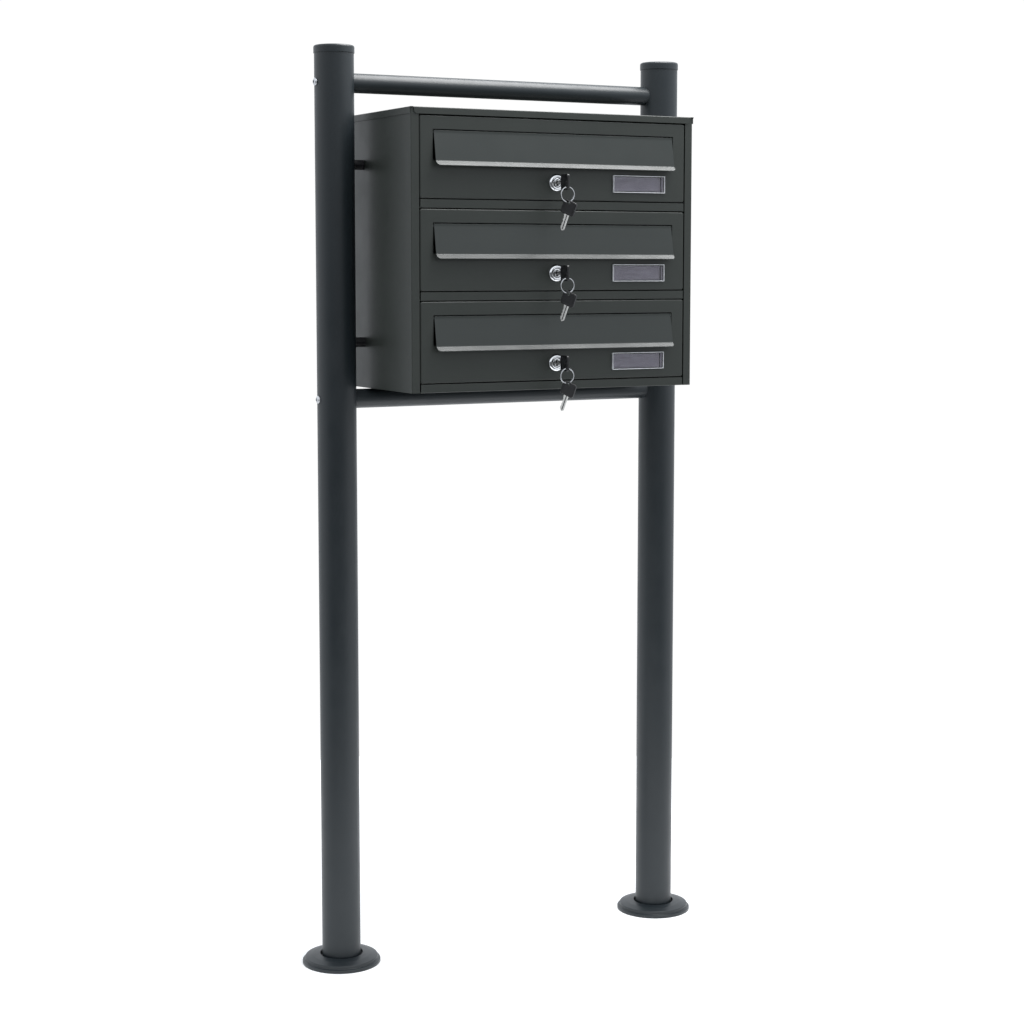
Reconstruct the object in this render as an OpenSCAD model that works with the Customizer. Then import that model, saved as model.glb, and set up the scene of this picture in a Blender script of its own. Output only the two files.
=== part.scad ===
// Pole-mounted cluster mailbox: three letter compartments in a sheet steel cabinet
// that hangs between two tubular posts. Millimetres, +Z up, the front faces -Y.
// The origin is on the floor, midway between the feet of the two posts.

/* [Stand] */
// Overall height of the posts with their caps
total_h = 1200; // [1100:10:1450]
// Outer diameter of the post tubes
post_d = 50.8; // [42:0.4:61]
// Wall of the post tubes
post_wall = 1.6; // [1.2:0.1:3]
// Clear gap between a post and the side of the cabinet
post_gap = 13.6; // [10:0.2:30]
// Outer diameter of the two cross rails
rail_d = 25; // [20:0.5:32]
// Wall of the cross rails
rail_wall = 1.5; // [1:0.1:2]
// Distance of the upper rail's axis below the top of the posts
rail_drop = 46.5; // [30:0.5:60]
// Clear gap between the lower rail and the floor of the cabinet
rail_gap = 1.5; // [1:0.5:10]
// Distance of the cabinet's lid below the top of the posts
cabinet_drop = 85; // [80:1:140]

/* [Feet] */
// Diameter of the anchor plate under each post
plate_d = 90; // [86:1:96]
// Thickness of the anchor plates
plate_t = 5; // [4:0.5:6]
// Diameter of the anchor holes
anchor_hole_d = 9; // [7:0.5:11]
// Distance between neighbouring anchor holes
anchor_spacing = 49.5; // [47:0.5:52]
// Diameter of the trim covers over the anchor plates
cover_d = 103; // [102:1:120]
// Height of the trim covers
cover_h = 12.5; // [11:0.5:16]
// Gap between the trim covers and the posts
cover_gap = 2.6; // [1:0.2:5]

/* [Cabinet] */
// Outer width of the cabinet
cabinet_w = 408; // [340:1:500]
// Outer depth of the cabinet
cabinet_d = 294; // [240:1:360]
// Thickness of the cabinet's sheet steel
sheet_t = 1.5; // [1:0.1:2]
// Width of the return flange down each side of the front
side_flange = 11; // [10:0.5:20]
// Height of the floor's front upstand
sill_h = 10.5; // [8:0.5:16]
// Height of the front band of each shelf
band_h = 10.5; // [8:0.5:16]
// Thickness of the lid's sheet
lid_t = 1.2; // [1:0.1:2]
// Depth of the lid's lips
lid_lip = 8.5; // [7:0.5:14]

/* [Doors] */
// Height of each door
door_h = 102; // [96:1:130]
// Gap all round each door
door_gap = 1; // [0.8:0.1:1.5]
// Thickness of the door sheet
door_t = 1.2; // [1:0.1:1.5]
// Depth of the folded edges of the doors
door_return = 12; // [11:0.5:16]
// Bending radius of the upper and lower edges of the doors
door_bend = 2; // [1.6:0.1:2.2]
// Height of the lock's axis above the lower edge of the door
lock_z = 22.5; // [20:0.5:24]

/* [Mail flaps] */
// Distance of the mail flaps from the sides of the doors
flap_side = 19; // [19:1:60]
// Height of the flap's top edge above the lower edge of the door
flap_top = 84; // [80:0.5:86]
// Height at which the flap bends outwards into its lip
flap_bend = 46; // [42:0.5:48]
// How far the flap leans forward at that bend
flap_lean = 6; // [4:0.5:8]
// Height and reach of the sloping lip
flap_lip = 5.2; // [4:0.1:7]
// Thickness of the flap sheet
flap_t = 1; // [0.8:0.1:1.2]
// Diameter of the rods on which the flaps swing
rod_d = 3; // [2.5:0.1:3]

/* [Locks and keys] */
// Diameter of the lock's front ring
bezel_d = 22; // [20:0.5:26]
// Diameter of the lock barrel
barrel_d = 16; // [14:0.5:18]
// Length of the lock barrel behind the front of the door
barrel_len = 21; // [16:0.5:24]
// Diameter of the turning plug in the lock
plug_d = 9.9; // [9:0.1:10.5]
// Reach of the lock's cam
cam_len = 28; // [26:0.5:30]
// Length of the key blade
blade_len = 21; // [18:0.5:24]
// Width of the key head
head_w = 20; // [18:0.5:21]
// Outer diameter of the split ring
ring_d = 20; // [20:0.5:24]

/* [Name plates] */
// Width of the name plates
name_w = 78; // [60:1:84]
// Height of the name plates
name_h = 22; // [18:0.5:24]
// Distance of the name plates from the side of the door
name_side = 31; // [16:1:45]

/* [Hidden] */
$fn = 48;
eps = 0.01;

bays = 3;
slide_fit = 0.05;

// Cabinet
bay_pitch = door_h + band_h + 2 * door_gap;
cabinet_h = sill_h + bays * door_h + (bays - 1) * band_h + 2 * bays * door_gap + lid_lip;
cabinet_top = total_h - cabinet_drop;
cabinet_z = cabinet_top - cabinet_h;
half_w = cabinet_w / 2;
half_d = cabinet_d / 2;
inner_w = cabinet_w - 2 * sheet_t;
wall_top = cabinet_top - lid_t;
frame_w = cabinet_w - 2 * side_flange;
rear_flange = 12;
band_clear = 0.2;
lid_front_w = cabinet_w - 8;
lid_corner_r = 4.5;

// Stand
post_r = post_d / 2;
post_x = half_w + post_gap + post_r;
cap_t = 1.6;
cap_skirt = 10;
cap_round = 2.5;
rail_r = rail_d / 2;
upper_rail_z = total_h - rail_drop;
lower_rail_z = cabinet_z - rail_gap - rail_r;
rail_zs = [lower_rail_z, upper_rail_z];
bolt_r = 2.95;
bolt_hole_r = 3.1;
thread_r = 3;
bolt_head_r = 5;
bolt_head_h = 3;
insert_len = 22;
insert_setback = 3;
spacer_r = 6.5;
spacer_low = 59;
spacer_high = 65;
spacer_zs = [cabinet_z + spacer_low, cabinet_top - spacer_high];
nut_r = 4.5;
nut_bulge_r = 6;
nut_bulge_t = 2.4;
nut_len = 11.5;
bulge_seat = post_r - sqrt(pow(post_r - post_wall, 2) - pow(nut_bulge_r, 2)) + 0.05;

// Feet
cover_t = 1.1;
cover_r = cover_d / 2;
cover_rim_h = 4;
cover_step_r = cover_r - 3.5;
cover_step_h = 8.6;
cover_hole_r = post_r + cover_gap;
dome_mid_r = (cover_step_r + cover_hole_r) / 2;
dome_mid_h = cover_h - 0.3 * (cover_h - cover_step_h);

// Rear panel rivets
rivet_r = 1.6;
rivet_head_r = 4;
rivet_head_h = 1.3;
rivet_tail_r = 2.6;
rivet_count = 5;
rivet_x = half_w - sheet_t - rear_flange / 2;
rivet_inset = 20;

// Doors, measured from the middle of the door's lower edge on the front plane
door_w = frame_w - 2 * door_gap;
pin_r = 1.25;
pin_back = 0.25;
hinge_y = sheet_t + pin_r + pin_back;
hinge_z = door_h - hinge_y;
pin_reach = 5;
pivot_depth = 9;
pivot_below = 5.5;
pivot_above = 3.5;

// Mail flap and slot
flap_gap = 1;
flap_w = door_w - 2 * flap_side;
slot_w = flap_w + 2 * flap_gap;
slot_top = flap_top + flap_gap;
slot_bottom = flap_bend + 1;
rod_r = rod_d / 2;
rod_y = flap_t + 2.5;
rod_z = flap_top - 2.8;
curl_r = 2.6;
ear_t = 2;
ear_gap = 2;
ear_half = 4.5;
stop_inset = 23;
stop_x = flap_w / 2 - stop_inset;
stop_w = 8;
stop_gap = 0.1;

// Lock
bezel_proud = 3.2;
bezel_chamfer = 1;
recess_r = 6.5;
recess_d = 1.5;
plug_r = plug_d / 2;
plug_head_r = 5.8;
plug_head_y = -bezel_proud + 0.5;
drive_w = 6;
cam_t = 2;
cam_w = 12;
cam_y = barrel_len + 0.3;
rivet_over = 1.2;
keyway_w = 2.4;
keyway_h = 8.2;
keyway_end = blade_len - 14 + 3;
lock_nut_af = 22;
lock_nut_t = 4;

// Key: the blade points along +Y, the head is upright
blade_t = 1.9;
blade_w = 7.6;
head_y = -14;
head_len = 18;
head_t = 3.5;
head_r = 3;
hole_w = 3.4;
hole_bar = 2;
hole_low = hole_bar - head_w / 2;
hole_high = 1;
hole_y = head_y - head_len + 3;

// Split ring, hung over the bar between the hole and the lower edge of the head
ring_r = ring_d / 2;
wire_t = 1.2;
wire_w = 1.8;
ring_clear = 0.1;
bar_z = (hole_low - head_w / 2) / 2;
bar_half = (hole_low + head_w / 2) / 2;
ring_hang = ring_r - wire_t - norm([head_t / 2, bar_half]) - ring_clear;
ring_z = bar_z - ring_hang;
spare_pivot_z = ring_z - ring_r + wire_t / 2;
grip_margin = 3.2;
spare_grip = hole_low + grip_margin;
spare_tilt = 22;
spare_turn = 28;

// Name plate
card_t = 0.6;
name_t = 2.6;
name_rim = 2;
name_fit = 0.2;
name_x = (door_w - name_w) / 2 - name_side;

// Colours
anthracite = [0.22, 0.24, 0.25];
graphite = [0.26, 0.29, 0.30];
black = [0.05, 0.05, 0.05];
steel = [0.75, 0.76, 0.78];
chrome = [0.85, 0.86, 0.88];
paper = [0.72, 0.70, 0.76];
clear = [0.85, 0.88, 0.92, 0.4];

stand_nodes = [
    "post_left", "post_right", "post_cap_left", "post_cap_right",
    "upper_rail", "lower_rail", "rail_inserts", "rail_bolts",
    "cabinet_spacers", "cabinet_bolts", "post_nuts",
    "base_plate_left", "base_plate_right", "base_cover_left", "base_cover_right"
];
cabinet_nodes = [
    "side_panel_left", "side_panel_right", "rear_panel", "rear_rivets", "floor_panel",
    "shelf_upper", "shelf_lower", "lid", "hinge_pivots"
];
bay_parts = [
    "door", "flap", "flap_rod", "lock_body", "lock_nut", "lock_plug", "lock_cam",
    "key", "key_ring", "spare_key", "name_card", "name_window"
];

// ---------- placing and drawing helpers ----------

// Height of the lower edge of a door; bay 1 is the top one
function door_z(bay) = cabinet_z + sill_h + door_gap + (bays - bay) * bay_pitch;

module in_bay(bay) translate([0, -half_d, door_z(bay)]) children();

// Extrudes a (Y, Z) outline along X, centred
module along_x(len) rotate([90, 0, 90]) translate([0, 0, -len / 2]) linear_extrude(len) children();

// Turns a shape built along +Z to point along +Y, away from the front
module inwards() rotate([-90, 0, 0]) children();

// Turns a shape built along +Z to point along X on the given side
module sideways(side) rotate([0, 90 * side, 0]) children();

module tube(h, r, bore_r) difference() {
    cylinder(h = h, r = r);
    translate([0, 0, -eps]) cylinder(h = h + 2 * eps, r = bore_r);
}

module rounded_rect(w, h, r) union() {
    square([w - 2 * r, h], center = true);
    square([w, h - 2 * r], center = true);
    for (x = [-1, 1]) for (y = [-1, 1]) translate([x * (w / 2 - r), y * (h / 2 - r)]) circle(r);
}

// Low round bolt head standing on z = 0
module round_head(r, h) intersection() {
    cylinder(h = h, r = r);
    translate([0, 0, h - (r * r + h * h) / (2 * h)]) sphere(r = (r * r + h * h) / (2 * h));
}

// ---------- stand ----------

module post(side) color(graphite) translate([side * post_x, 0, plate_t]) difference() {
    tube(total_h - cap_t - plate_t, post_r, post_r - post_wall);
    for (z = rail_zs) translate([0, 0, z - plate_t]) rotate([0, 90, 0])
        cylinder(h = post_d + 2, r = bolt_hole_r, center = true);
    for (z = spacer_zs) translate([0, 0, z - plate_t]) sideways(-side)
        cylinder(h = post_r + 1, r = nut_r + slide_fit);
}

module post_cap(side) color(graphite)
    translate([side * post_x, 0, total_h - cap_skirt]) rotate_extrude() difference() {
        union() {
            square([post_r + 0.8, cap_skirt - cap_round]);
            square([post_r + 0.8 - cap_round, cap_skirt]);
            translate([post_r + 0.8 - cap_round, cap_skirt - cap_round]) intersection() {
                circle(cap_round);
                square(cap_round);
            }
        }
        translate([0, -eps]) square([post_r + slide_fit, cap_skirt - cap_t + eps]);
    }

module rail(z) color(graphite) difference() {
    translate([-post_x, 0, z]) rotate([0, 90, 0]) tube(2 * post_x, rail_r, rail_r - rail_wall);
    for (side = [-1, 1]) translate([side * post_x, 0, z - rail_d])
        cylinder(h = 2 * rail_d, r = post_r + slide_fit);
}

module rail_inserts() color(steel) for (z = rail_zs) for (side = [-1, 1])
    translate([side * (post_x - post_r - insert_setback), 0, z]) sideways(-side)
        tube(insert_len, rail_r - rail_wall - slide_fit, thread_r);

module rail_bolts() color(chrome) for (z = rail_zs) for (side = [-1, 1])
    translate([side * (post_x + post_r), 0, z]) union() {
        sideways(side) round_head(bolt_head_r, bolt_head_h);
        sideways(-side) cylinder(h = post_d + insert_setback + insert_len - 4, r = bolt_r);
    }

module cabinet_spacers() color(black) for (z = spacer_zs) for (side = [-1, 1]) difference() {
    translate([side * half_w, 0, z]) sideways(side) tube(post_gap + 2, spacer_r, bolt_hole_r);
    translate([side * post_x, 0, z - 10]) cylinder(h = 20, r = post_r + slide_fit);
}

module cabinet_bolts() color(steel) for (z = spacer_zs) for (side = [-1, 1])
    translate([side * inner_w / 2, 0, z]) union() {
        sideways(-side) round_head(bolt_head_r, bolt_head_h);
        sideways(side) cylinder(h = sheet_t + post_gap + nut_len - 1, r = bolt_r);
    }

module post_nuts() color(steel) for (z = spacer_zs) for (side = [-1, 1])
    translate([side * (post_x - post_r), 0, z]) sideways(side) difference() {
        union() {
            translate([0, 0, 0.4]) cylinder(h = nut_len, r = nut_r);
            translate([0, 0, bulge_seat]) cylinder(h = nut_bulge_t, r = nut_bulge_r);
        }
        cylinder(h = nut_len + 1, r = thread_r);
    }

module base_plate(side) color(steel) translate([side * post_x, 0, 0]) difference() {
    cylinder(h = plate_t, d = plate_d);
    for (x = [-1, 1]) for (y = [-1, 1])
        translate([x * anchor_spacing / 2, y * anchor_spacing / 2, -1])
            cylinder(h = plate_t + 2, d = anchor_hole_d);
}

// A pressed cover: flat rim, step, shallow dome, and a collar down to the anchor plate
module base_cover(side) color(graphite) translate([side * post_x, 0, 0]) rotate_extrude() polygon([
    [cover_r, 0],
    [cover_r, cover_rim_h - 1],
    [cover_r - 1, cover_rim_h],
    [cover_step_r, cover_rim_h + 0.5],
    [cover_step_r, cover_step_h - 1],
    [cover_step_r - 1, cover_step_h],
    [dome_mid_r, dome_mid_h],
    [cover_hole_r, cover_h],
    [cover_hole_r, plate_t],
    [cover_hole_r + cover_t, plate_t],
    [cover_hole_r + cover_t, cover_h - cover_t],
    [dome_mid_r, dome_mid_h - cover_t],
    [cover_step_r - 1 - cover_t / 2, cover_step_h - cover_t],
    [cover_step_r - cover_t, cover_step_h - 1 - cover_t / 2],
    [cover_step_r - cover_t, cover_rim_h - cover_t / 2],
    [cover_r - 1 - cover_t / 2, cover_rim_h - cover_t],
    [cover_r - cover_t, cover_rim_h - 1 - cover_t / 2],
    [cover_r - cover_t, 0]
]);

// ---------- cabinet ----------

module side_panel(side) color(anthracite) difference() {
    union() {
        translate([side > 0 ? half_w - sheet_t : -half_w, -half_d, cabinet_z])
            cube([sheet_t, cabinet_d - sheet_t, wall_top - cabinet_z]);
        translate([side > 0 ? half_w - side_flange : -half_w, -half_d, cabinet_z])
            cube([side_flange, sheet_t, wall_top - cabinet_z]);
        translate([side > 0 ? half_w - sheet_t - rear_flange : -half_w, half_d - 2 * sheet_t, cabinet_z])
            cube([rear_flange + sheet_t, sheet_t, wall_top - cabinet_z]);
    }
    for (z = spacer_zs) translate([side * (half_w - 2 * sheet_t), 0, z]) sideways(side)
        cylinder(h = 3 * sheet_t, r = bolt_hole_r);
    rivet_holes(side);
}

// Heights of the rivets up each side of the rear panel
rivet_step = (wall_top - cabinet_z - 2 * rivet_inset) / (rivet_count - 1);
function rivet_z(i) = cabinet_z + rivet_inset + i * rivet_step;

module rivet_holes(side) for (i = [0 : rivet_count - 1])
    translate([side * rivet_x, half_d - 3 * sheet_t, rivet_z(i)]) inwards()
        cylinder(h = 4 * sheet_t, r = rivet_r + slide_fit);

module rear_panel() color(anthracite) difference() {
    translate([-half_w, half_d - sheet_t, cabinet_z]) cube([cabinet_w, sheet_t, wall_top - cabinet_z]);
    rivet_holes(-1);
    rivet_holes(1);
}

module rear_rivets() color(anthracite) for (side = [-1, 1]) for (i = [0 : rivet_count - 1])
    translate([side * rivet_x, half_d, rivet_z(i)]) union() {
        inwards() round_head(rivet_head_r, rivet_head_h);
        translate([0, -2 * sheet_t - 1.2, 0]) inwards() cylinder(h = 2 * sheet_t + 1.2, r = rivet_r);
        translate([0, -2 * sheet_t - 1.2, 0]) inwards() cylinder(h = 1.2, r = rivet_tail_r);
    }

// A plate across the cabinet with an upstand between the two front flanges
module floor_sheet(z, upstand) translate([0, 0, z]) union() {
    translate([-inner_w / 2, -half_d + sheet_t, 0]) cube([inner_w, cabinet_d - 3 * sheet_t, sheet_t]);
    translate([-frame_w / 2 + band_clear, -half_d, 0])
        cube([frame_w - 2 * band_clear, sheet_t + eps, upstand]);
}

module floor_panel() color(anthracite) floor_sheet(cabinet_z, sill_h);

module shelf(below_bay) color(anthracite)
    floor_sheet(door_z(below_bay) - door_gap - band_h, band_h);

module lid_lip_outline() difference() {
    translate([-lid_front_w / 2, 0]) square([lid_front_w, lid_lip]);
    for (side = [-1, 1]) difference() {
        translate([side * lid_front_w / 2, 0]) square(2 * lid_corner_r, center = true);
        translate([side * (lid_front_w / 2 - lid_corner_r), lid_corner_r]) circle(lid_corner_r);
    }
}

module lid() color(anthracite) union() {
    translate([-half_w - lid_t, -half_d - lid_t, wall_top])
        cube([cabinet_w + 2 * lid_t, cabinet_d + 2 * lid_t, lid_t]);
    for (y = [-half_d, half_d + lid_t]) translate([0, y, cabinet_top - lid_lip]) rotate([90, 0, 0])
        linear_extrude(lid_t) lid_lip_outline();
    for (x = [-half_w - lid_t, half_w]) translate([x, -half_d, cabinet_top - lid_lip])
        cube([lid_t, cabinet_d, lid_lip]);
}

// Blocks behind the front flanges, each with the pin that a door turns on
module hinge_pivots() color(steel) for (bay = [1 : bays]) in_bay(bay) for (side = [-1, 1]) union() {
    translate([side > 0 ? frame_w / 2 + 1 : -inner_w / 2, sheet_t, hinge_z - pivot_below])
        cube([inner_w / 2 - frame_w / 2 - 1, pivot_depth, pivot_below + pivot_above]);
    translate([side * (frame_w / 2 + 2), hinge_y, hinge_z]) sideways(-side)
        cylinder(h = pin_reach, r = pin_r);
}

// ---------- doors ----------

// Section of a folded sheet with two rounded front corners, front edge on y = 0
module front_rounded(depth, height, r) union() {
    translate([r, 0]) square([depth - r, height]);
    translate([0, r]) square([depth, height - 2 * r]);
    for (z = [r, height - r]) translate([r, z]) circle(r);
}

module door(bay) color(anthracite) in_bay(bay) difference() {
    union() {
        along_x(door_w) difference() {
            front_rounded(door_return, door_h, door_bend);
            translate([door_t, door_t])
                front_rounded(door_return, door_h - 2 * door_t, door_bend - door_t);
        }
        for (side = [-1, 1]) translate([side * (door_w - door_t) / 2, 0, 0])
            along_x(door_t) front_rounded(door_return, door_h, door_bend);
        for (side = [-1, 1])
            translate([side * (slot_w / 2 + ear_gap + ear_t / 2) - ear_t / 2, door_t / 2, rod_z - ear_half])
                cube([ear_t, rod_y + ear_half - door_t / 2, 2 * ear_half]);
    }
    translate([-slot_w / 2, -1, slot_bottom]) cube([slot_w, door_t + 2, slot_top - slot_bottom]);
    translate([0, -1, lock_z]) inwards() cylinder(h = door_t + 2, r = barrel_d / 2 + slide_fit);
    translate([0, hinge_y, hinge_z]) rotate([0, 90, 0])
        cylinder(h = door_w + 2, r = pin_r + slide_fit, center = true);
    translate([0, rod_y, rod_z]) rotate([0, 90, 0])
        cylinder(h = slot_w + 4 * ear_gap + 2, r = rod_r + slide_fit, center = true);
}

module flap_rod(bay) color(steel) in_bay(bay) translate([0, rod_y, rod_z]) rotate([0, 90, 0])
    cylinder(h = slot_w + 2 * (ear_gap + ear_t + 2), r = rod_r, center = true);

// Front face of the lip at a height below the bend
function lip_y(z) = -flap_lean - (flap_bend - z);

module flap(bay) color(graphite) in_bay(bay) union() {
    along_x(flap_w) difference() {
        union() {
            polygon([
                [0, flap_top],
                [0, rod_z],
                [-flap_lean, flap_bend],
                [lip_y(flap_bend - flap_lip), flap_bend - flap_lip],
                [lip_y(flap_bend - flap_lip) + 0.7 * flap_t, flap_bend - flap_lip - 0.7 * flap_t],
                [-flap_lean + flap_t, flap_bend - 0.4 * flap_t],
                [flap_t, rod_z],
                [flap_t, flap_top]
            ]);
            translate([rod_y, rod_z]) circle(curl_r);
        }
        translate([rod_y, rod_z]) circle(rod_r + slide_fit);
    }
    for (side = [-1, 1]) translate([side * stop_x, 0, 0]) along_x(stop_w) polygon([
        [-stop_gap, flap_bend - 2.5],
        [-stop_gap, flap_bend - 0.5],
        [lip_y(flap_bend - 0.5) + 0.8 * flap_t, flap_bend - 0.5],
        [lip_y(flap_bend - 2.5) + 0.8 * flap_t, flap_bend - 2.5]
    ]);
}

module name_card(bay) color(paper) in_bay(bay) translate([name_x, -card_t / 2, lock_z])
    cube([name_w - 2 * name_rim, card_t, name_h - 2 * name_rim], center = true);

module name_window(bay) color(clear) in_bay(bay) translate([name_x, 0, lock_z]) difference() {
    rotate([90, 0, 0]) linear_extrude(name_t) rounded_rect(name_w, name_h, 1);
    cube([name_w - 2 * name_rim + name_fit, 2 * (card_t + name_fit), name_h - 2 * name_rim + name_fit],
        center = true);
}

// ---------- locks and keys ----------

module lock_body(bay) color(chrome) in_bay(bay) translate([0, 0, lock_z]) inwards() difference() {
    union() {
        translate([0, 0, -bezel_proud])
            cylinder(h = bezel_chamfer, r1 = bezel_d / 2 - bezel_chamfer, r2 = bezel_d / 2);
        translate([0, 0, -bezel_proud + bezel_chamfer])
            cylinder(h = bezel_proud - bezel_chamfer, r = bezel_d / 2);
        translate([0, 0, -eps]) cylinder(h = barrel_len + eps, r = barrel_d / 2);
    }
    translate([0, 0, -bezel_proud - 1]) cylinder(h = recess_d + 1, r = recess_r);
    translate([0, 0, -bezel_proud]) cylinder(h = barrel_len + bezel_proud + 1, r = plug_r + slide_fit);
}

module lock_nut(bay) color(steel) in_bay(bay) translate([0, door_t, lock_z]) inwards() difference() {
    cylinder(h = lock_nut_t, r = lock_nut_af / sqrt(3), $fn = 6);
    translate([0, 0, -1]) cylinder(h = lock_nut_t + 2, r = barrel_d / 2 + slide_fit);
}

module lock_plug(bay) color(steel) in_bay(bay) translate([0, 0, lock_z]) difference() {
    union() {
        translate([0, plug_head_y, 0]) inwards()
            cylinder(h = recess_d - 0.5 - slide_fit, r = plug_head_r);
        translate([0, plug_head_y, 0]) inwards() cylinder(h = cam_y - plug_head_y, r = plug_r);
        translate([-drive_w / 2, cam_y - eps, -drive_w / 2]) cube([drive_w, cam_t + 2 * eps, drive_w]);
        translate([0, cam_y + cam_t, 0]) inwards() cylinder(h = rivet_over, r = drive_w * 0.72);
    }
    translate([-keyway_w / 2, plug_head_y - 1, -keyway_h / 2])
        cube([keyway_w, keyway_end - plug_head_y + 1, keyway_h]);
}

module lock_cam(bay) color(steel) in_bay(bay) translate([0, cam_y, lock_z]) difference() {
    union() {
        inwards() cylinder(h = cam_t, r = cam_w / 2);
        translate([0, 0, -cam_w / 2]) cube([cam_len - 3, cam_t, cam_w]);
        translate([cam_len - 3 - eps, 0, -cam_w / 2 + 3]) cube([3 + eps, cam_t, cam_w - 6]);
        for (z = [-1, 1]) translate([cam_len - 3, 0, z * (cam_w / 2 - 3)]) inwards()
            cylinder(h = cam_t, r = 3);
    }
    translate([-drive_w / 2 - slide_fit, -1, -drive_w / 2 - slide_fit])
        cube([drive_w + 2 * slide_fit, cam_t + 2, drive_w + 2 * slide_fit]);
}

// Head and blade of a key with the blade along +Y and the lock's face on y = 0
module key_shape() union() {
    along_x(head_t) difference() {
        translate([head_y - head_len / 2, 0]) rounded_rect(head_len, head_w, head_r);
        translate([hole_y, (hole_low + hole_high) / 2])
            rounded_rect(hole_w, hole_high - hole_low, hole_w / 2 - eps);
    }
    along_x(blade_t) polygon([
        [head_y - 2, -blade_w / 2],
        [head_y - 2, blade_w / 2],
        [head_y + blade_len - 1.5, blade_w / 2],
        [head_y + blade_len, blade_w / 2 - 2],
        [head_y + blade_len, 0],
        [head_y + blade_len - 3, -blade_w / 2]
    ]);
}

module key(bay) color(black) in_bay(bay) translate([0, 0, lock_z]) key_shape();

module key_ring(bay) color(chrome) in_bay(bay) translate([0, hole_y, lock_z + ring_z]) inwards()
    rotate_extrude() translate([ring_r - wire_t / 2, 0]) square([wire_t, wire_w], center = true);

module spare_key(bay) color(black) in_bay(bay)
    translate([0, hole_y, lock_z + spare_pivot_z]) rotate([0, 0, spare_turn])
        rotate([spare_tilt - 90, 0, 0]) rotate([0, 180, 0])
            translate([0, -hole_y, -spare_grip]) key_shape();

// ---------- the nodes ----------

post(-1);  // post_left
post(1);  // post_right
post_cap(-1);  // post_cap_left
post_cap(1);  // post_cap_right
rail(upper_rail_z);  // upper_rail
rail(lower_rail_z);  // lower_rail
rail_inserts();
rail_bolts();
cabinet_spacers();
cabinet_bolts();
post_nuts();
base_plate(-1);  // base_plate_left
base_plate(1);  // base_plate_right
base_cover(-1);  // base_cover_left
base_cover(1);  // base_cover_right
side_panel(-1);  // side_panel_left
side_panel(1);  // side_panel_right
rear_panel();
rear_rivets();
floor_panel();
shelf(1);  // shelf_upper
shelf(2);  // shelf_lower
lid();
hinge_pivots();

for (bay = [1 : bays]) {
    door(bay);
    flap(bay);
    flap_rod(bay);
    lock_body(bay);
    lock_nut(bay);
    lock_plug(bay);
    lock_cam(bay);
    key(bay);
    key_ring(bay);
    spare_key(bay);
    name_card(bay);
    name_window(bay);
}
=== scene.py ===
"""Looks for a cluster mailbox with three letter compartments that hangs between two posts.

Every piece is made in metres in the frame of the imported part: +Z up, front towards -Y, floor at zero.
Sizes written in this file are millimetres, turned to metres by mm().
"""

import math

import bmesh
import bpy
from bpy.props import FloatProperty, FloatVectorProperty, IntProperty, PointerProperty
from mathutils import Matrix, Vector


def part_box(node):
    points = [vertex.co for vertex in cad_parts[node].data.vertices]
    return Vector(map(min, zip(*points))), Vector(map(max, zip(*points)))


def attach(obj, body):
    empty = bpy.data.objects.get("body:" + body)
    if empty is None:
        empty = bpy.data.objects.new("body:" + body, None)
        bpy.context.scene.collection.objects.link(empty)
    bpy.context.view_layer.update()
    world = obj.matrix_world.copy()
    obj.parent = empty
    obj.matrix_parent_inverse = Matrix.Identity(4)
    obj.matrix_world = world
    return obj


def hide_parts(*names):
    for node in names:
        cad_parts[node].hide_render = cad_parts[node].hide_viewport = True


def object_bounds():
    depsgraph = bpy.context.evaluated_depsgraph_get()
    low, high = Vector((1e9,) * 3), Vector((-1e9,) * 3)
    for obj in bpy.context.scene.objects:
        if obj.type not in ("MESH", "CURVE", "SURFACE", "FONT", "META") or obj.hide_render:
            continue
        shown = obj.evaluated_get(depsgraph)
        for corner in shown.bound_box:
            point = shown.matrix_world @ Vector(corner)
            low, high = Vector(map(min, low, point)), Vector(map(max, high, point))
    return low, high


bl_info = {
    "name": "Cluster Mailbox",
    "version": (1, 0, 0),
    "blender": (4, 5, 0),
    "location": "3D View > Sidebar > Mailbox",
    "description": "Builds the visible pieces, finishes and stage of a pole-mounted cluster mailbox",
    "category": "Object",
}

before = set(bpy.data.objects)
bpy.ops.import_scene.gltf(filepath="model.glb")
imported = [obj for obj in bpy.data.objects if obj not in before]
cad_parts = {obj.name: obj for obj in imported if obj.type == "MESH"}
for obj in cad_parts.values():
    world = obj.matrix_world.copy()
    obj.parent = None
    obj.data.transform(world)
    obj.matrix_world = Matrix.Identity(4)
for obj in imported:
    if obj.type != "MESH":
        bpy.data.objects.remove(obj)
CAD_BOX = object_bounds()
BAYS = (1, 2, 3)
SIDES = {"left": -1, "right": 1}

# Sheet thicknesses
CABINET_SHEET = 1.5
DOOR_SHEET = 1.2
LID_SHEET = 1.2
FLAP_SHEET = 1.0
COVER_SHEET = 1.1

# Door and flap, measured from the lower front edge of the door
DOOR_DEPTH = 12
SLOT_BOTTOM = 47
FLAP_BEND = 46
FLAP_LEAN = 6
ROD_SETBACK = 3.5
ROD_DROP = 2.8

# Keys, measured from the lock's axis where it meets the face of the door
KEY_THICKNESS = 3.5
KEY_BACK = -32
KEY_SHOULDER = -14
KEY_HALF_HEIGHT = 10
BLADE_THICKNESS = 1.9
BLADE_HALF_HEIGHT = 3.2
BLADE_TIP = 7
CUTS = ((-10.5, 0.5), (-8.6, 1.1), (-6.4, 0.6), (-4.4, 1.4), (-2.2, 0.8), (0, 1.2), (2, 0.5))
HOLE = {"y": -29, "low": -8, "high": 1, "half": 1.7}
GRIP_HEIGHT = -4.8
SPARE_TURN = 28
SPARE_TILT = 22
RING_WIRE = 1.2

TOUCHING = 1e-6
CAMERA_AT = (-1258.0, -2422.2, 920.6)


# ---------- sizes ----------


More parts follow.
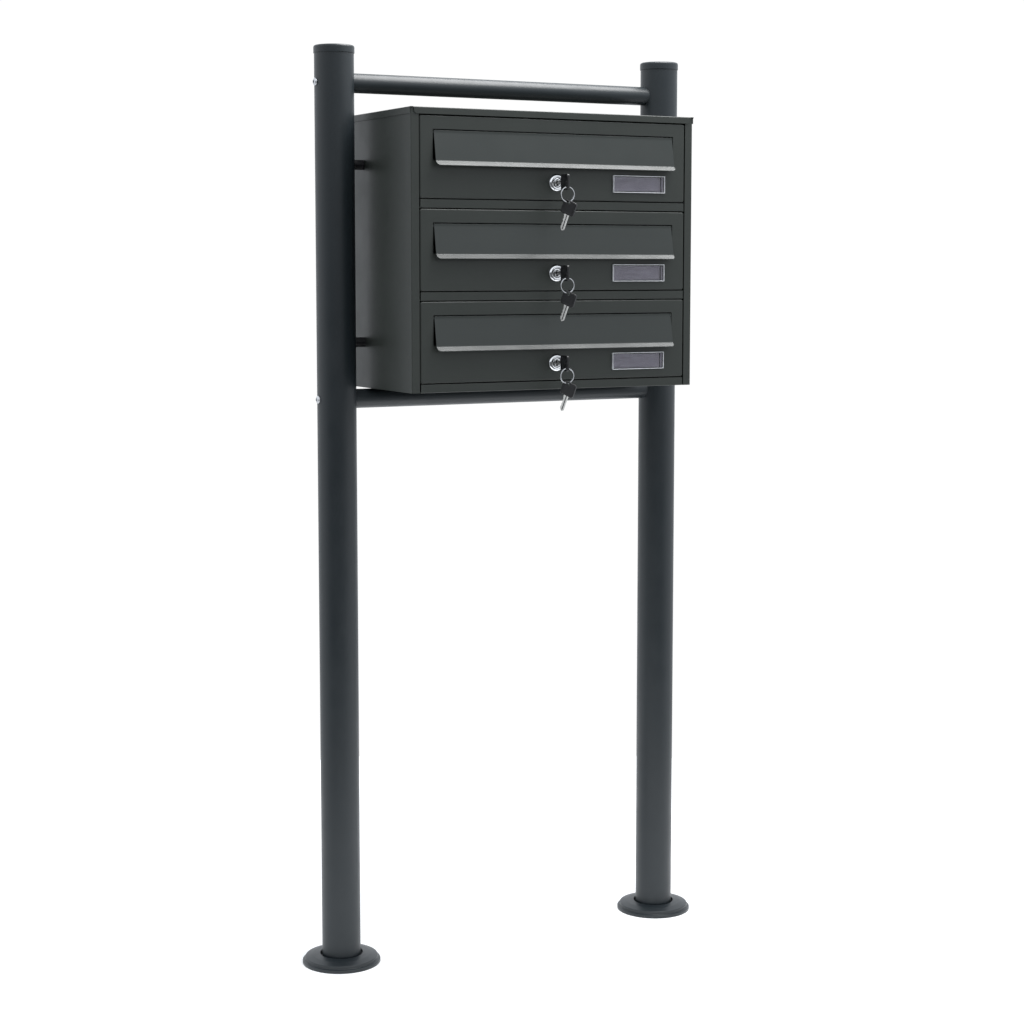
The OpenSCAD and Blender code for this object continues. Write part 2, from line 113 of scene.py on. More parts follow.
def mm(*values):
    """Millimetres to metres: one number, or a vector of three."""
    if len(values) == 1:
        return values[0] * 0.001
    return Vector(values) * 0.001


def middle(node):
    """Middle of a CAD node's box."""
    low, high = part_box(node)
    return (low + high) / 2


def half_width(node):
    """Half of a CAD node's size along X."""
    low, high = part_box(node)
    return (high.x - low.x) / 2


def foot_of(node):
    """The point on the floor below a CAD node's middle."""
    centre = middle(node)
    return Vector((centre.x, centre.y, 0))


def bay_origin(bay):
    """Middle of the lower front edge of a bay's door."""
    low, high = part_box(f"door_{bay}")
    return Vector(((low.x + high.x) / 2, low.y, low.z))


# ---------- mesh helpers ----------


def chain(bm, points, closed=False):
    """A row of vertices joined by edges."""
    verts = [bm.verts.new(p) for p in points]
    for a, b in zip(verts, verts[1:]):
        bm.edges.new((a, b))
    if closed:
        bm.edges.new((verts[-1], verts[0]))
    return verts


def round_corners(bm, verts, radius, segments=4):
    """Rounds corners of a wire, or of a flat outline, by the distance cut off along each side."""
    bmesh.ops.bevel(
        bm,
        geom=verts,
        offset=radius,
        offset_type="OFFSET",
        affect="VERTICES",
        segments=segments,
        profile=0.5,
        material=-1,
    )


def round_edges(bm, edges, radius, segments=3):
    """Rounds edges of a mesh to a radius."""
    bmesh.ops.bevel(
        bm,
        geom=edges,
        offset=radius,
        offset_type="OFFSET",
        affect="EDGES",
        segments=segments,
        profile=0.5,
        material=-1,
        clamp_overlap=True,
    )


def sharp_edges(bm, angle=35):
    """Edges between faces that meet at more than an angle in degrees."""
    limit = math.radians(angle)
    return [e for e in bm.edges if len(e.link_faces) == 2 and e.calc_face_angle() > limit]


def clean(bm):
    """Joins vertices that touch and turns the faces outwards."""
    bmesh.ops.remove_doubles(bm, verts=bm.verts, dist=TOUCHING)
    bmesh.ops.recalc_face_normals(bm, faces=bm.faces)


def place(bm, turn=None, at=None):
    """Turns a mesh about the origin, then moves it."""
    if turn is not None:
        bmesh.ops.transform(bm, matrix=turn.to_4x4(), verts=bm.verts)
    if at is not None:
        bmesh.ops.translate(bm, vec=at, verts=bm.verts)


def spin_profile(bm, points, fillet=0.0, steps=96, closed=False, segments=3):
    """Turns a profile of (radius, height) about Z. Inner corners of the profile are rounded by fillet."""
    verts = chain(bm, [(r, 0, h) for r, h in points], closed)
    if fillet:
        corners = verts if closed else verts[1:-1]
        round_corners(bm, corners, fillet, segments)
    bmesh.ops.spin(
        bm,
        geom=bm.verts[:] + bm.edges[:],
        cent=(0, 0, 0),
        axis=(0, 0, 1),
        angle=math.tau,
        steps=steps,
        use_merge=True,
    )
    clean(bm)


def aimed(axis):
    """Rotation that points Z along an axis."""
    return Vector((0, 0, 1)).rotation_difference(Vector(axis)).to_matrix()


def lathe(*points, rise=0.0):
    """Profile points of (radius, height) in millimetres, lifted by a height in metres."""
    return [(mm(r), mm(h) + rise) for r, h in points]


def turned(points, axis=None, at=None, fillet=0.0, steps=96, closed=False, segments=3):
    """A bmesh turned about Z, then pointed along an axis and moved into place."""
    bm = bmesh.new()
    spin_profile(bm, points, fillet, steps, closed, segments)
    place(bm, aimed(axis) if axis else None, at)
    return bm


def pointed(bm, axis, at):
    """Points a shape built along Z along an axis, and moves it."""
    place(bm, aimed(axis), at)
    return bm


def block(low, high, radius=0.0, segments=2):
    """A box between two corners with rounded edges."""
    bm = bmesh.new()
    bmesh.ops.create_cube(bm, size=1)
    size = Vector(high) - Vector(low)
    bmesh.ops.scale(bm, vec=size, verts=bm.verts)
    bmesh.ops.translate(bm, vec=(Vector(high) + Vector(low)) / 2, verts=bm.verts)
    if radius:
        round_edges(bm, bm.edges[:], radius, segments)
    return bm


def rectangle(left, bottom, right, top):
    """Four corners in order, for an outline."""
    return [(left, bottom), (right, bottom), (right, top), (left, top)]


def new_verts(made):
    """The vertices among what an extrusion made."""
    return [v for v in made["geom"] if isinstance(v, bmesh.types.BMVert)]


def thicken(bm, offset):
    """Extrudes a flat face by an offset into a closed plate."""
    made = bmesh.ops.extrude_face_region(bm, geom=bm.faces[:])
    bmesh.ops.translate(bm, vec=offset, verts=new_verts(made))
    bmesh.ops.recalc_face_normals(bm, faces=bm.faces)


def side_plate(outline, thickness, corner=0.0):
    """A plate of a (Y, Z) outline, centred on x = 0."""
    bm = bmesh.new()
    face = bm.faces.new([bm.verts.new((-thickness / 2, y, z)) for y, z in outline])
    if corner:
        round_corners(bm, face.verts[:], corner, 6)
    thicken(bm, (thickness, 0, 0))
    return bm


def slab(outline, thickness, radius=0.0, corner=0.0):
    """A plate of an (X, Z) outline with its front on y = 0, running back to y = thickness."""
    bm = bmesh.new()
    face = bm.faces.new([bm.verts.new((x, 0, z)) for x, z in outline])
    if corner:
        round_corners(bm, face.verts[:], corner, 5)
    thicken(bm, (0, thickness, 0))
    if radius:
        round_edges(bm, sharp_edges(bm, 60), radius, 2)
    return bm


def pull(bm, edges, offset):
    """Extrudes edges by an offset and returns the new vertices."""
    verts = new_verts(bmesh.ops.extrude_edge_only(bm, edges=edges))
    bmesh.ops.translate(bm, vec=offset, verts=verts)
    return verts


def cut(bm, point, normal):
    """Adds edges where a plane crosses the mesh."""
    everything = bm.verts[:] + bm.edges[:] + bm.faces[:]
    bmesh.ops.bisect_plane(bm, geom=everything, plane_co=point, plane_no=normal, dist=1e-7)


def outwards(bm, centre):
    """Turns an open shell's faces away from a centre, by the sum over its faces."""
    bmesh.ops.recalc_face_normals(bm, faces=bm.faces)
    facing = sum(f.normal.dot(f.calc_center_median() - centre) * f.calc_area() for f in bm.faces)
    if facing < 0:
        bmesh.ops.reverse_faces(bm, faces=bm.faces)


def merge(*meshes):
    """One bmesh from several."""
    whole = bmesh.new()
    for bm in meshes:
        mesh = bpy.data.meshes.new("part")
        bm.to_mesh(mesh)
        bm.free()
        whole.from_mesh(mesh)
        bpy.data.meshes.remove(mesh)
    return whole


def add_piece(name, bm, material, body, slot, nodes=(), edge=0.0, thickness=0.0, smooth=38):
    """Makes the object, gives it its finish, and ties it to its body and CAD nodes; the slot argument is not
    used.
    """
    mesh = bpy.data.meshes.new(name)
    bm.to_mesh(mesh)
    bm.free()
    mesh.materials.append(material)
    mesh.polygons.foreach_set("use_smooth", [True] * len(mesh.polygons))
    obj = bpy.data.objects.new(name, mesh)
    bpy.context.scene.collection.objects.link(obj)
    if thickness:
        wall = obj.modifiers.new("wall", "SOLIDIFY")
        wall.thickness = thickness
        wall.offset = -1
        wall.use_even_offset = True
    if edge:
        soft = obj.modifiers.new("edge", "BEVEL")
        soft.width = edge
        soft.segments = 2
        soft.limit_method = "ANGLE"
        soft.angle_limit = math.radians(50)
        soft.use_clamp_overlap = True
    flat = obj.modifiers.new("flat_faces", "WEIGHTED_NORMAL")
    flat.keep_sharp = True
    mesh.set_sharp_from_angle(angle=math.radians(smooth))
    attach(obj, body)
    if nodes:
        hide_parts(*nodes)
    return obj


# ---------- material helpers ----------


class Nodes:
    """Short calls for building one material's node tree."""

    def __init__(self, name):
        self.material = bpy.data.materials.get(name) or bpy.data.materials.new(name)
        self.material.use_nodes = True
        self.tree = self.material.node_tree
        self.tree.nodes.clear()
        self.out = self.add("ShaderNodeOutputMaterial")
        self.shader = self.add("ShaderNodeBsdfPrincipled")
        self.link(self.shader.outputs[0], self.out.inputs["Surface"])
        self.coords = self.add("ShaderNodeTexCoord").outputs["Object"]

    def add(self, kind, **settings):
        node = self.tree.nodes.new(kind)
        for key, value in settings.items():
            setattr(node, key, value)
        return node

    def link(self, a, b):
        self.tree.links.new(a, b)

    def feed(self, name, value):
        """Links a pattern to one of the shader's own sockets."""
        self.link(value, self.shader.inputs[name])

    def set(self, **values):
        for key, value in values.items():
            self.shader.inputs[key.replace("_", " ")].default_value = value

    def noise(self, scale, detail=4.0, roughness=0.55, stretch=None):
        node = self.add("ShaderNodeTexNoise")
        node.inputs["Scale"].default_value = scale
        node.inputs["Detail"].default_value = detail
        node.inputs["Roughness"].default_value = roughness
        if stretch:
            mapping = self.add("ShaderNodeMapping")
            mapping.inputs["Scale"].default_value = stretch
            self.link(self.coords, mapping.inputs["Vector"])
            self.link(mapping.outputs[0], node.inputs["Vector"])
        else:
            self.link(self.coords, node.inputs["Vector"])
        return node.outputs[0]

    def spread(self, value, low, high, start=0.3, end=0.7):
        """Maps a pattern to a range of numbers."""
        node = self.add("ShaderNodeMapRange")
        node.inputs["From Min"].default_value = start
        node.inputs["From Max"].default_value = end
        node.inputs["To Min"].default_value = low
        node.inputs["To Max"].default_value = high
        self.link(value, node.inputs["Value"])
        return node.outputs[0]

    def blend(self, factor, first, second):
        """Mixes two colours, or colour sockets, by a pattern."""
        node = self.add("ShaderNodeMix", data_type="RGBA")
        self.link(factor, node.inputs["Factor"])
        for socket, value in ((node.inputs[6], first), (node.inputs[7], second)):
            if isinstance(value, bpy.types.NodeSocket):
                self.link(value, socket)
            else:
                socket.default_value = (*value[:3], 1)
        return node.outputs[2]

    def plus(self, a, b, operation="ADD"):
        node = self.add("ShaderNodeMath", operation=operation)
        for socket, value in zip(node.inputs, (a, b)):
            if isinstance(value, bpy.types.NodeSocket):
                self.link(value, socket)
            else:
                socket.default_value = value
        return node.outputs[0]

    def bump(self, height, distance, strength=1.0, normal=None):
        node = self.add("ShaderNodeBump")
        node.inputs["Distance"].default_value = distance
        node.inputs["Strength"].default_value = strength
        self.link(height, node.inputs["Height"])
        if normal is not None:
            self.link(normal, node.inputs["Normal"])
        return node.outputs[0]


def shade(colour, factor):
    """A colour made lighter or darker."""
    return tuple(min(c * factor, 1.0) for c in colour[:3])


def powder_coat(name, colour, roughness, grain):
    """Fine satin powder coat: small orange peel, uneven cure, faint dust and rubbed patches."""
    n = Nodes(name)
    patches = n.spread(n.noise(7, 3), 0, 1)
    grains = n.spread(n.noise(2600, 2, 0.6), 0, 1, 0.35, 0.65)
    body = n.blend(patches, shade(colour, 0.93), shade(colour, 1.07))
    flecked = n.blend(n.spread(grains, 0, 0.35, 0, 1), body, shade(colour, 1.35))
    dust = n.spread(n.noise(900, 1, 0.4), 0, 0.5, 0.74, 0.8)
    n.feed("Base Color", n.blend(dust, flecked, shade(colour, 2.4)))
    rubbed = n.spread(n.noise(26, 5, 0.6), -0.04, 0.05)
    fine = n.spread(grains, -0.03, 0.03, 0, 1)
    n.feed("Roughness", n.plus(n.plus(rubbed, fine), roughness))
    peel = n.bump(n.noise(620, 2, 0.5), mm(0.05), grain)
    n.feed("Normal", n.bump(n.noise(2600, 2, 0.6), mm(0.02), grain, peel))
    n.set(Metallic=0.0, IOR=1.5, Specular_IOR_Level=0.5)
    return n.material


def plated(name, colour, roughness, brushed=(1, 1, 1)):
    """Bare or plated metal with faint handling marks."""
    n = Nodes(name)
    clouds = n.spread(n.noise(60, 4), 0, 1)
    n.feed("Base Color", n.blend(clouds, shade(colour, 0.86), shade(colour, 1.06)))
    marks = n.spread(n.noise(420, 5, 0.65, brushed), -0.6, 0.9)
    n.feed("Roughness", n.plus(n.plus(marks, roughness * 0.5, "MULTIPLY"), roughness))
    n.feed("Normal", n.bump(n.noise(900, 4, 0.6, brushed), mm(0.01), 0.5))
    n.set(Metallic=1.0)
    return n.material


def moulded(name, colour, roughness):
    """Moulded plastic with a fine spark-eroded grain."""
    n = Nodes(name)
    tone = n.blend(n.spread(n.noise(180, 4), 0, 1), shade(colour, 0.8), shade(colour, 1.35))
    n.feed("Base Color", tone)
    n.feed("Roughness", n.spread(n.noise(340, 4), roughness - 0.06, roughness + 0.08))
    n.feed("Normal", n.bump(n.noise(3200, 3, 0.6), mm(0.02), 0.6))
    return n.material


def paper(name, colour):
    """Uncoated card with faint fibres."""
    n = Nodes(name)
    fibres = n.spread(n.noise(700, 6, 0.7, (1, 1, 5)), 0, 1)
    tone = n.blend(n.spread(n.noise(45, 3), 0, 1), shade(colour, 0.9), shade(colour, 1.1))
    n.feed("Base Color", n.blend(n.spread(fibres, 0, 0.25, 0, 1), tone, shade(colour, 1.2)))
    n.feed("Normal", n.bump(fibres, mm(0.01), 0.6))
    n.set(Roughness=0.75)
    return n.material


def clear_plastic(name, colour, roughness):
    """Clear moulded plastic, a little scuffed."""
    n = Nodes(name)
    n.feed("Roughness", n.spread(n.noise(300, 5, 0.6), roughness * 0.5, roughness * 1.6))
    tone = n.blend(n.spread(n.noise(90, 3), 0, 1), shade(colour, 0.97), shade(colour, 1.0))
    n.feed("Base Color", tone)
    n.feed("Normal", n.bump(n.noise(240, 2), mm(0.02), 0.3))
    n.set(Transmission_Weight=1.0, IOR=1.49)
    return n.material


# ---------- settings ----------


class FinishSettings(bpy.types.PropertyGroup):
    """Colours and gloss of the finishes"""

    cabinet: FloatVectorProperty(
        name="Cabinet Colour",
        description="Powder coat on the cabinet and doors",
        subtype="COLOR", size=3, min=0, max=1, default=(0.0205, 0.0245, 0.0210),
    )
    stand: FloatVectorProperty(
        name="Stand Colour",
        description="Powder coat on the posts, rails and foot covers",
        subtype="COLOR", size=3, min=0, max=1, default=(0.010, 0.0145, 0.0175),
    )
    # The flap colour is the cabinet's coat painted darker: painted shade that offsets the extra overhead
    # light the leaning flaps catch.
    flap: FloatVectorProperty(
        name="Flap Colour",
        description="Powder coat on the letter flaps",
        subtype="COLOR", size=3, min=0, max=1, default=(0.0170, 0.0215, 0.0195),
    )
    gloss: FloatProperty(
        name="Coat Roughness",
        description="Roughness of the powder coat",
        subtype="FACTOR", min=0.1, max=0.9, default=0.40,
    )
    grain: FloatProperty(
        name="Coat Grain",
        description="Strength of the powder coat's orange peel",
        subtype="FACTOR", min=0, max=1, default=0.35,
    )
    card: FloatVectorProperty(
        name="Card Colour",
        description="Blank card in the name plates",
        subtype="COLOR", size=3, min=0, max=1, default=(0.30, 0.28, 0.33),
    )


class SheetSettings(bpy.types.PropertyGroup):
    """Sizes of the folded sheet steel"""

    fold: FloatProperty(
        name="Fold Radius",
        description="Outer radius of the cabinet's folds",
        subtype="DISTANCE", unit="LENGTH", min=0.0005, max=0.004, default=0.0011,
    )
    door_fold: FloatProperty(
        name="Door Fold Radius",
        description="Outer radius of the doors' folds",
        subtype="DISTANCE", unit="LENGTH", min=0.0005, max=0.004, default=0.0018,
    )
    lid_corner: FloatProperty(
        name="Lid Lip Corner",
        description="Radius of the lower corners of the lid's front and rear lips",
        subtype="DISTANCE", unit="LENGTH", min=0.001, max=0.008, default=0.0045,
    )
    lip_corner: FloatProperty(
        name="Flap Lip Corner",
        description="Cut at the ends of the flaps' lips",
        subtype="DISTANCE", unit="LENGTH", min=0.001, max=0.006, default=0.0045,
    )


class StageSettings(bpy.types.PropertyGroup):
    """Camera and studio light"""

    lens: FloatProperty(
        name="Focal Length",
        description="Camera's focal length on a 36 mm wide sensor",
        subtype="DISTANCE_CAMERA", min=20, max=200, default=71.14,
    )
    yaw: FloatProperty(
        name="Camera Yaw",
        description="How far the camera stands round to the left of the front",
        subtype="ANGLE", unit="ROTATION", default=math.radians(27.691),
    )
    pitch: FloatProperty(
        name="Camera Pitch",
        description="How far the camera looks down",
        subtype="ANGLE", unit="ROTATION", default=math.radians(5.66),
    )
    shift: FloatProperty(
        name="Vertical Shift",
        description="Lens shift that keeps the posts inside the frame",
        default=-0.0445,
    )
    overhead: FloatProperty(
        name="Overhead Softbox",
        description="Power of the softbox above the cabinet",
        subtype="POWER", unit="POWER", min=0, default=26,
    )
    surround: FloatProperty(
        name="Surround",
        description="Brightness of the surround behind and beside the mailbox",
        min=0, default=0.9,
    )
    surround_front: FloatProperty(
        name="Surround in Front",
        description="Brightness of the surround on the camera's side",
        min=0, default=0.12,
    )
    surround_top: FloatProperty(
        name="Surround Above",
        description="Brightness of the surround above the mailbox",
        min=0, default=1.1,
    )
    round_steps: IntProperty(
        name="Round Steps",
        description="Faces around each post",
        min=24, max=256, default=112,
    )


class MailboxSettings(bpy.types.PropertyGroup):
    """All the settings of the mailbox"""

    finish: PointerProperty(type=FinishSettings)
    sheet: PointerProperty(type=SheetSettings)
    stage: PointerProperty(type=StageSettings)


def settings():
    """The settings of the scene's mailbox."""
    return bpy.context.scene.mailbox


def cabinet_paint():
    s = settings().finish
    return powder_coat("cabinet_powder_coat", s.cabinet, s.gloss, s.grain)


def stand_paint():
    s = settings().finish
    return powder_coat("stand_powder_coat", s.stand, s.gloss - 0.02, s.grain)


# Painted shade: the flaps carry the cabinet's coat in a darker copy, offsetting the overhead light their
# leaning faces catch.
def flap_paint():
    s = settings().finish
    return powder_coat("flap_coat_painted_darker", s.flap, s.gloss - 0.05, s.grain)


def black_plastic():
    return moulded("black_moulding", (0.006, 0.006, 0.007), 0.34)


def zinc():
    return plated("zinc_plate", (0.62, 0.63, 0.65), 0.30)


def chrome():
    return plated("chrome_plate", (0.84, 0.85, 0.87), 0.09)


def key_steel():
    return plated("key_steel", (0.74, 0.73, 0.70), 0.20, (1, 1, 6))


def frosted_plastic():
    """Rim of the clear moulding, which scatters light."""
    n = Nodes("clear_moulding_rim")
    tone = n.blend(n.spread(n.noise(260, 4), 0, 1), (0.52, 0.53, 0.56), (0.80, 0.81, 0.83))
    n.feed("Base Color", tone)
    n.feed("Roughness", n.spread(n.noise(420, 4), 0.12, 0.3))
    n.feed("Normal", n.bump(n.noise(700, 3), mm(0.03), 0.4))
    n.set(IOR=1.49, Coat_Weight=0.6, Coat_Roughness=0.08)
    return n.material


def window_plastic():
    return clear_plastic("clear_moulding", (0.95, 0.95, 0.97), 0.12)


def card_stock():
    return paper("card_stock", settings().finish.card)


# Near-black matt moulding that paints shade: it stands in for the dark of deep gaps and recesses (the flap
# curls behind the slot gaps, the lock wells and the keyways).
def painted_shade_black():
    return moulded("painted_shade_near_black", (0.004, 0.004, 0.004), 0.55)


def stand_piece(name, bm, *nodes, **options):
    """A piece with the stand's coat."""
    add_piece(name, bm, stand_paint(), "stand", "frame_paint", nodes, **options)


def cabinet_piece(name, bm, *nodes, **options):
    """A fixed piece with the cabinet's coat."""
    add_piece(name, bm, cabinet_paint(), "stand", "cabinet_paint", nodes, **options)


def zinc_piece(name, bm, body, *nodes):
    """A zinc-plated piece."""
    add_piece(name, bm, zinc(), body, "zinc_steel", nodes)


def black_piece(name, bm, body, *nodes):
    """A piece in the black moulding: black plastic, and on the key blades the painted shade of their grooves.
    """
    return add_piece(name, bm, black_plastic(), body, "black_plastic", nodes)


def finish_node(node, material):
    """Gives a CAD node that stays in view its finish."""
    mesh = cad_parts[node].data
    mesh.materials.clear()
    mesh.materials.append(material)


# ---------- stand ----------


def post_tube(side_name):
    """A round post, open at both ends."""
    node = f"post_{side_name}"
    low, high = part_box(node)
    r = half_width(node)
    bore = r - mm(1.6)
    profile = [(r, low.z), (r, high.z), (bore, high.z), (bore, low.z)]
    bm = turned(profile, at=foot_of(node), steps=settings().stage.round_steps, closed=True)
    stand_piece(f"{node}_tube", bm, node)


def post_top(side_name):
    """A cap with a rounded rim that fits over the top of a post."""
    node = f"post_cap_{side_name}"
    low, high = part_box(node)
    r = half_width(node)
    bore = half_width(f"post_{side_name}") + mm(0.05)
    top = high.z
    profile = [
        (0, top),
        (r - mm(2.6), top - mm(0.05)),
        (r - mm(1.2), top - mm(0.5)),
        (r - mm(0.3), top - mm(1.4)),
        (r, top - mm(2.6)),
        (r, low.z),
        (bore, low.z),
        (bore, top - mm(1.6)),
        (0, top - mm(1.6)),
    ]
    steps = settings().stage.round_steps
    bm = turned(profile, at=foot_of(node), fillet=mm(0.35), steps=steps, segments=2)
    stand_piece(f"{node}_disc", bm, node)


def cross_rail(node):
    """A round rail that runs from post to post."""
    low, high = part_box(node)
    centre = (low + high) / 2
    r = (high.z - low.z) / 2
    bore = r - mm(1.5)
    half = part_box("post_right")[0].x + mm(4.5)
    profile = [(r, -half), (r, half), (bore, half), (bore, -half)]
    bm = turned(profile, axis=(1, 0, 0), at=centre, steps=72, closed=True)
    stand_piece(f"{node}_tube", bm, node)


def foot_cover(side_name):
    """A pressed cover over the anchor plate, with a stepped rim."""
    node = f"base_cover_{side_name}"
    r = half_width(node)
    step = r - mm(3.5)
    hole = half_width(f"post_{side_name}") + mm(2.6)
    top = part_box(node)[1].z
    profile = [
        (r, 0),
        (r, mm(4)),
        (step, mm(4.6)),
        (step, mm(8.6)),
        ((step + hole) / 2, top - mm(1.2)),
        (hole, top),
        (hole, mm(5)),
    ]
    steps = settings().stage.round_steps
    bm = turned(profile, at=foot_of(node), fillet=mm(0.9), steps=steps, segments=4)
    stand_piece(f"foot_cover_{side_name}_pressing", bm, node, thickness=mm(COVER_SHEET))


def socket_head(radius, height, shank, length, steps=36):
    """A domed bolt head on z = 0 with a hexagon socket, and its shank below."""
    dome = [(radius * math.sin(a), height * (0.35 + 0.65 * math.cos(a))) for a in (0.55, 0.85, 1.15, 1.4)]
    under = [(radius, height * 0.25), (radius, 0), (shank, 0), (shank, -length), (0, -length)]
    head = turned([(radius * 0.42, height), *dome, *under], steps=steps)
    socket = bmesh.new()
    bmesh.ops.create_cone(
        socket, cap_ends=False, segments=6, radius1=radius * 0.36, radius2=radius * 0.42, depth=height * 0.6
    )
    bmesh.ops.translate(socket, vec=(0, 0, height * 0.7), verts=socket.verts)
    floor = bmesh.new()
    bmesh.ops.create_circle(floor, cap_ends=True, segments=6, radius=radius * 0.36)
    bmesh.ops.translate(floor, vec=(0, 0, height * 0.4), verts=floor.verts)
    for face in socket.faces:
        face.normal_flip()
    return merge(head, socket, floor)


def rail_bolt_heads():
    """Bolts through the outer sides of the posts into the rails."""
    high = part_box("rail_bolts")[1]
    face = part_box("post_right")[1].x
    heads = []
    for node in ("upper_rail", "lower_rail"):
        for side in SIDES.values():
            bolt = socket_head(mm(5), high.x - face, mm(2.95), mm(50))
            at = Vector((side * face, middle("post_right").y, middle(node).z))
            heads.append(pointed(bolt, (side, 0, 0), at))
    zinc_piece("rail_bolt_set", merge(*heads), "stand", "rail_bolts")


def spacer_sleeves():
    """Black sleeves between the cabinet's sides and the posts."""
    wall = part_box("side_panel_right")[1].x
    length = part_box("post_right")[0].x - wall + mm(1.2)
    profile = [(mm(3.1), 0), (mm(6.5), 0), (mm(6.5), length), (mm(3.1), length)]
    sleeves = []
    for z in spacer_heights():
        for side in SIDES.values():
            sleeve = turned(profile, fillet=mm(0.6), steps=48, closed=True)
            sleeves.append(pointed(sleeve, (side, 0, 0), Vector((side * wall, middle("post_right").y, z))))
    black_piece("spacer_sleeve_set", merge(*sleeves), "stand", "cabinet_spacers")


def spacer_heights():
    """Heights of the lower and upper spacers."""
    low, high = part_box("cabinet_spacers")
    return low.z + mm(6.5), high.z - mm(6.5)


def cabinet_bolt_heads():
    """Bolts through the cabinet's sides and the spacers into the posts."""
    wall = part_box("side_panel_right")[1].x - mm(CABINET_SHEET)
    bolts = []
    for z in spacer_heights():
        for side in SIDES.values():
            bolt = socket_head(mm(5), mm(3), mm(2.95), mm(12))
            bolts.append(pointed(bolt, (-side, 0, 0), Vector((side * wall, middle("post_right").y, z))))
    zinc_piece("cabinet_bolt_set", merge(*bolts), "stand", "cabinet_bolts")


# ---------- cabinet ----------


def side_sheet(side_name):
    """Side panel folded in at the front and the rear."""
    side = SIDES[side_name]
    node = f"side_panel_{side_name}"
    low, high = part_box(node)
    outer = side * max(abs(low.x), abs(high.x))
    front_edge = outer - side * mm(11)
    rear_edge = outer - side * mm(13.5)
    bm = bmesh.new()
    plan = [(front_edge, low.y), (outer, low.y), (outer, high.y), (rear_edge, high.y)]
    verts = chain(bm, [(x, y, low.z) for x, y in plan])
    round_corners(bm, verts[1:-1], settings().sheet.fold, 5)
    pull(bm, bm.edges[:], Vector((0, 0, high.z - low.z)))
    outwards(bm, Vector((0, (low.y + high.y) / 2, 0)))
    cabinet_piece(f"side_sheet_{side_name}", bm, node, edge=mm(0.3), thickness=mm(CABINET_SHEET))


def rear_sheet():
    """Flat rear panel with a line along each folded side flange."""
    low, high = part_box("rear_panel")
    bm = block(low, high, mm(0.35))
    for x in (low.x + mm(13.5), high.x - mm(13.5)):
        cut(bm, (x, 0, 0), (1, 0, 0))
    cabinet_piece("rear_sheet", bm, "rear_panel")


def rivet_heads():
    """Domed rivets up both sides of the rear panel."""
    low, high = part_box("rear_rivets")
    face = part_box("rear_panel")[1].y
    panel_low, panel_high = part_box("rear_panel")
    count = 5
    inset = mm(20)
    step = (panel_high.z - panel_low.z - 2 * inset) / (count - 1)
    head = mm(4)
    profile = lathe((0, 1.3), (1.8, 1.15), (3.2, 0.65), (4, 0.1), (4, 0), (1.6, 0), (1.6, -4), (0, -4))
    rivets = []
    for x in (low.x + head, high.x - head):
        for i in range(count):
            rivet = turned(profile, fillet=mm(0.2), steps=28, segments=2)
            rivets.append(pointed(rivet, (0, 1, 0), Vector((x, face, panel_low.z + inset + i * step))))
    cabinet_piece("rear_rivet_set", merge(*rivets), "rear_rivets")


def tray(name, node):
    """A plate across the cabinet whose front edge is folded up between the side flanges."""
    low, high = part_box(node)
    wide = high.x
    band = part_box("side_panel_right")[0].x + mm(0.8)
    front_y = low.y - mm(0.08)
    back = high.y
    neck = low.y + mm(CABINET_SHEET)
    bm = bmesh.new()
    outline = [
        (-band, front_y),
        (band, front_y),
        (band, neck),
        (wide, neck),
        (wide, back),
        (-wide, back),
        (-wide, neck),
        (-band, neck),
    ]
    bm.faces.new([bm.verts.new((x, y, low.z)) for x, y in outline])
    front = [e for e in bm.edges if all(abs(v.co.y - front_y) < TOUCHING for v in e.verts)]
    pull(bm, front, Vector((0, 0, high.z - low.z)))
    round_edges(bm, front_fold(bm, front_y, low.z), settings().sheet.fold * 0.8, 4)
    bmesh.ops.recalc_face_normals(bm, faces=bm.faces)
    lowest = min(bm.faces, key=lambda f: f.calc_center_median().z - f.calc_area())
    if lowest.normal.z > 0:
        bmesh.ops.reverse_faces(bm, faces=bm.faces)
    cabinet_piece(name, bm, node, edge=mm(0.3), thickness=mm(CABINET_SHEET))


def front_fold(bm, y, z):
    """The edges between a tray's plate and its front band."""

    def on_fold(vert):
        return abs(vert.co.y - y) < TOUCHING and abs(vert.co.z - z) < TOUCHING

    return [e for e in bm.edges if len(e.link_faces) == 2 and all(on_fold(v) for v in e.verts)]


def lid_pressing():
    """The lid: a flat top with four lips folded down."""
    low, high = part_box("lid")
    lip_x = high.x - mm(5.2)
    lip_y = high.y - mm(1.2)
    bm = bmesh.new()
    bm.faces.new([bm.verts.new((x, y, high.z)) for x, y in rectangle(low.x, low.y, high.x, high.y)])
    for x in (-lip_x, lip_x):
        cut(bm, (x, 0, 0), (1, 0, 0))
    for y in (-lip_y, lip_y):
        cut(bm, (0, y, 0), (0, 1, 0))
    down = Vector((0, 0, low.z - high.z))

    def rim(axis, value, limit):
        def on_rim(vert):
            along = vert.co[1 - axis]
            return abs(vert.co[axis] - value) < TOUCHING and abs(along) < limit + TOUCHING

        return [e for e in bm.edges if all(on_rim(v) for v in e.verts)]

    lips = []
    for axis, value, limit in ((1, low.y, lip_x), (1, high.y, lip_x), (0, low.x, lip_y), (0, high.x, lip_y)):
        top = rim(axis, value, limit)
        lips.append((pull(bm, top, down), top))
    corners = [v for verts, _ in lips[:2] for v in verts if abs(abs(v.co.x) - lip_x) < TOUCHING]
    round_corners(bm, corners, settings().sheet.lid_corner, 5)
    folds = [e for _, top in lips for e in top if e.is_valid]
    round_edges(bm, folds, mm(1.1), 4)
    outwards(bm, Vector((0, 0, low.z - mm(200))))
    cabinet_piece("lid_pressing", bm, "lid", edge=mm(0.25), thickness=mm(LID_SHEET))


# ---------- doors and flaps ----------


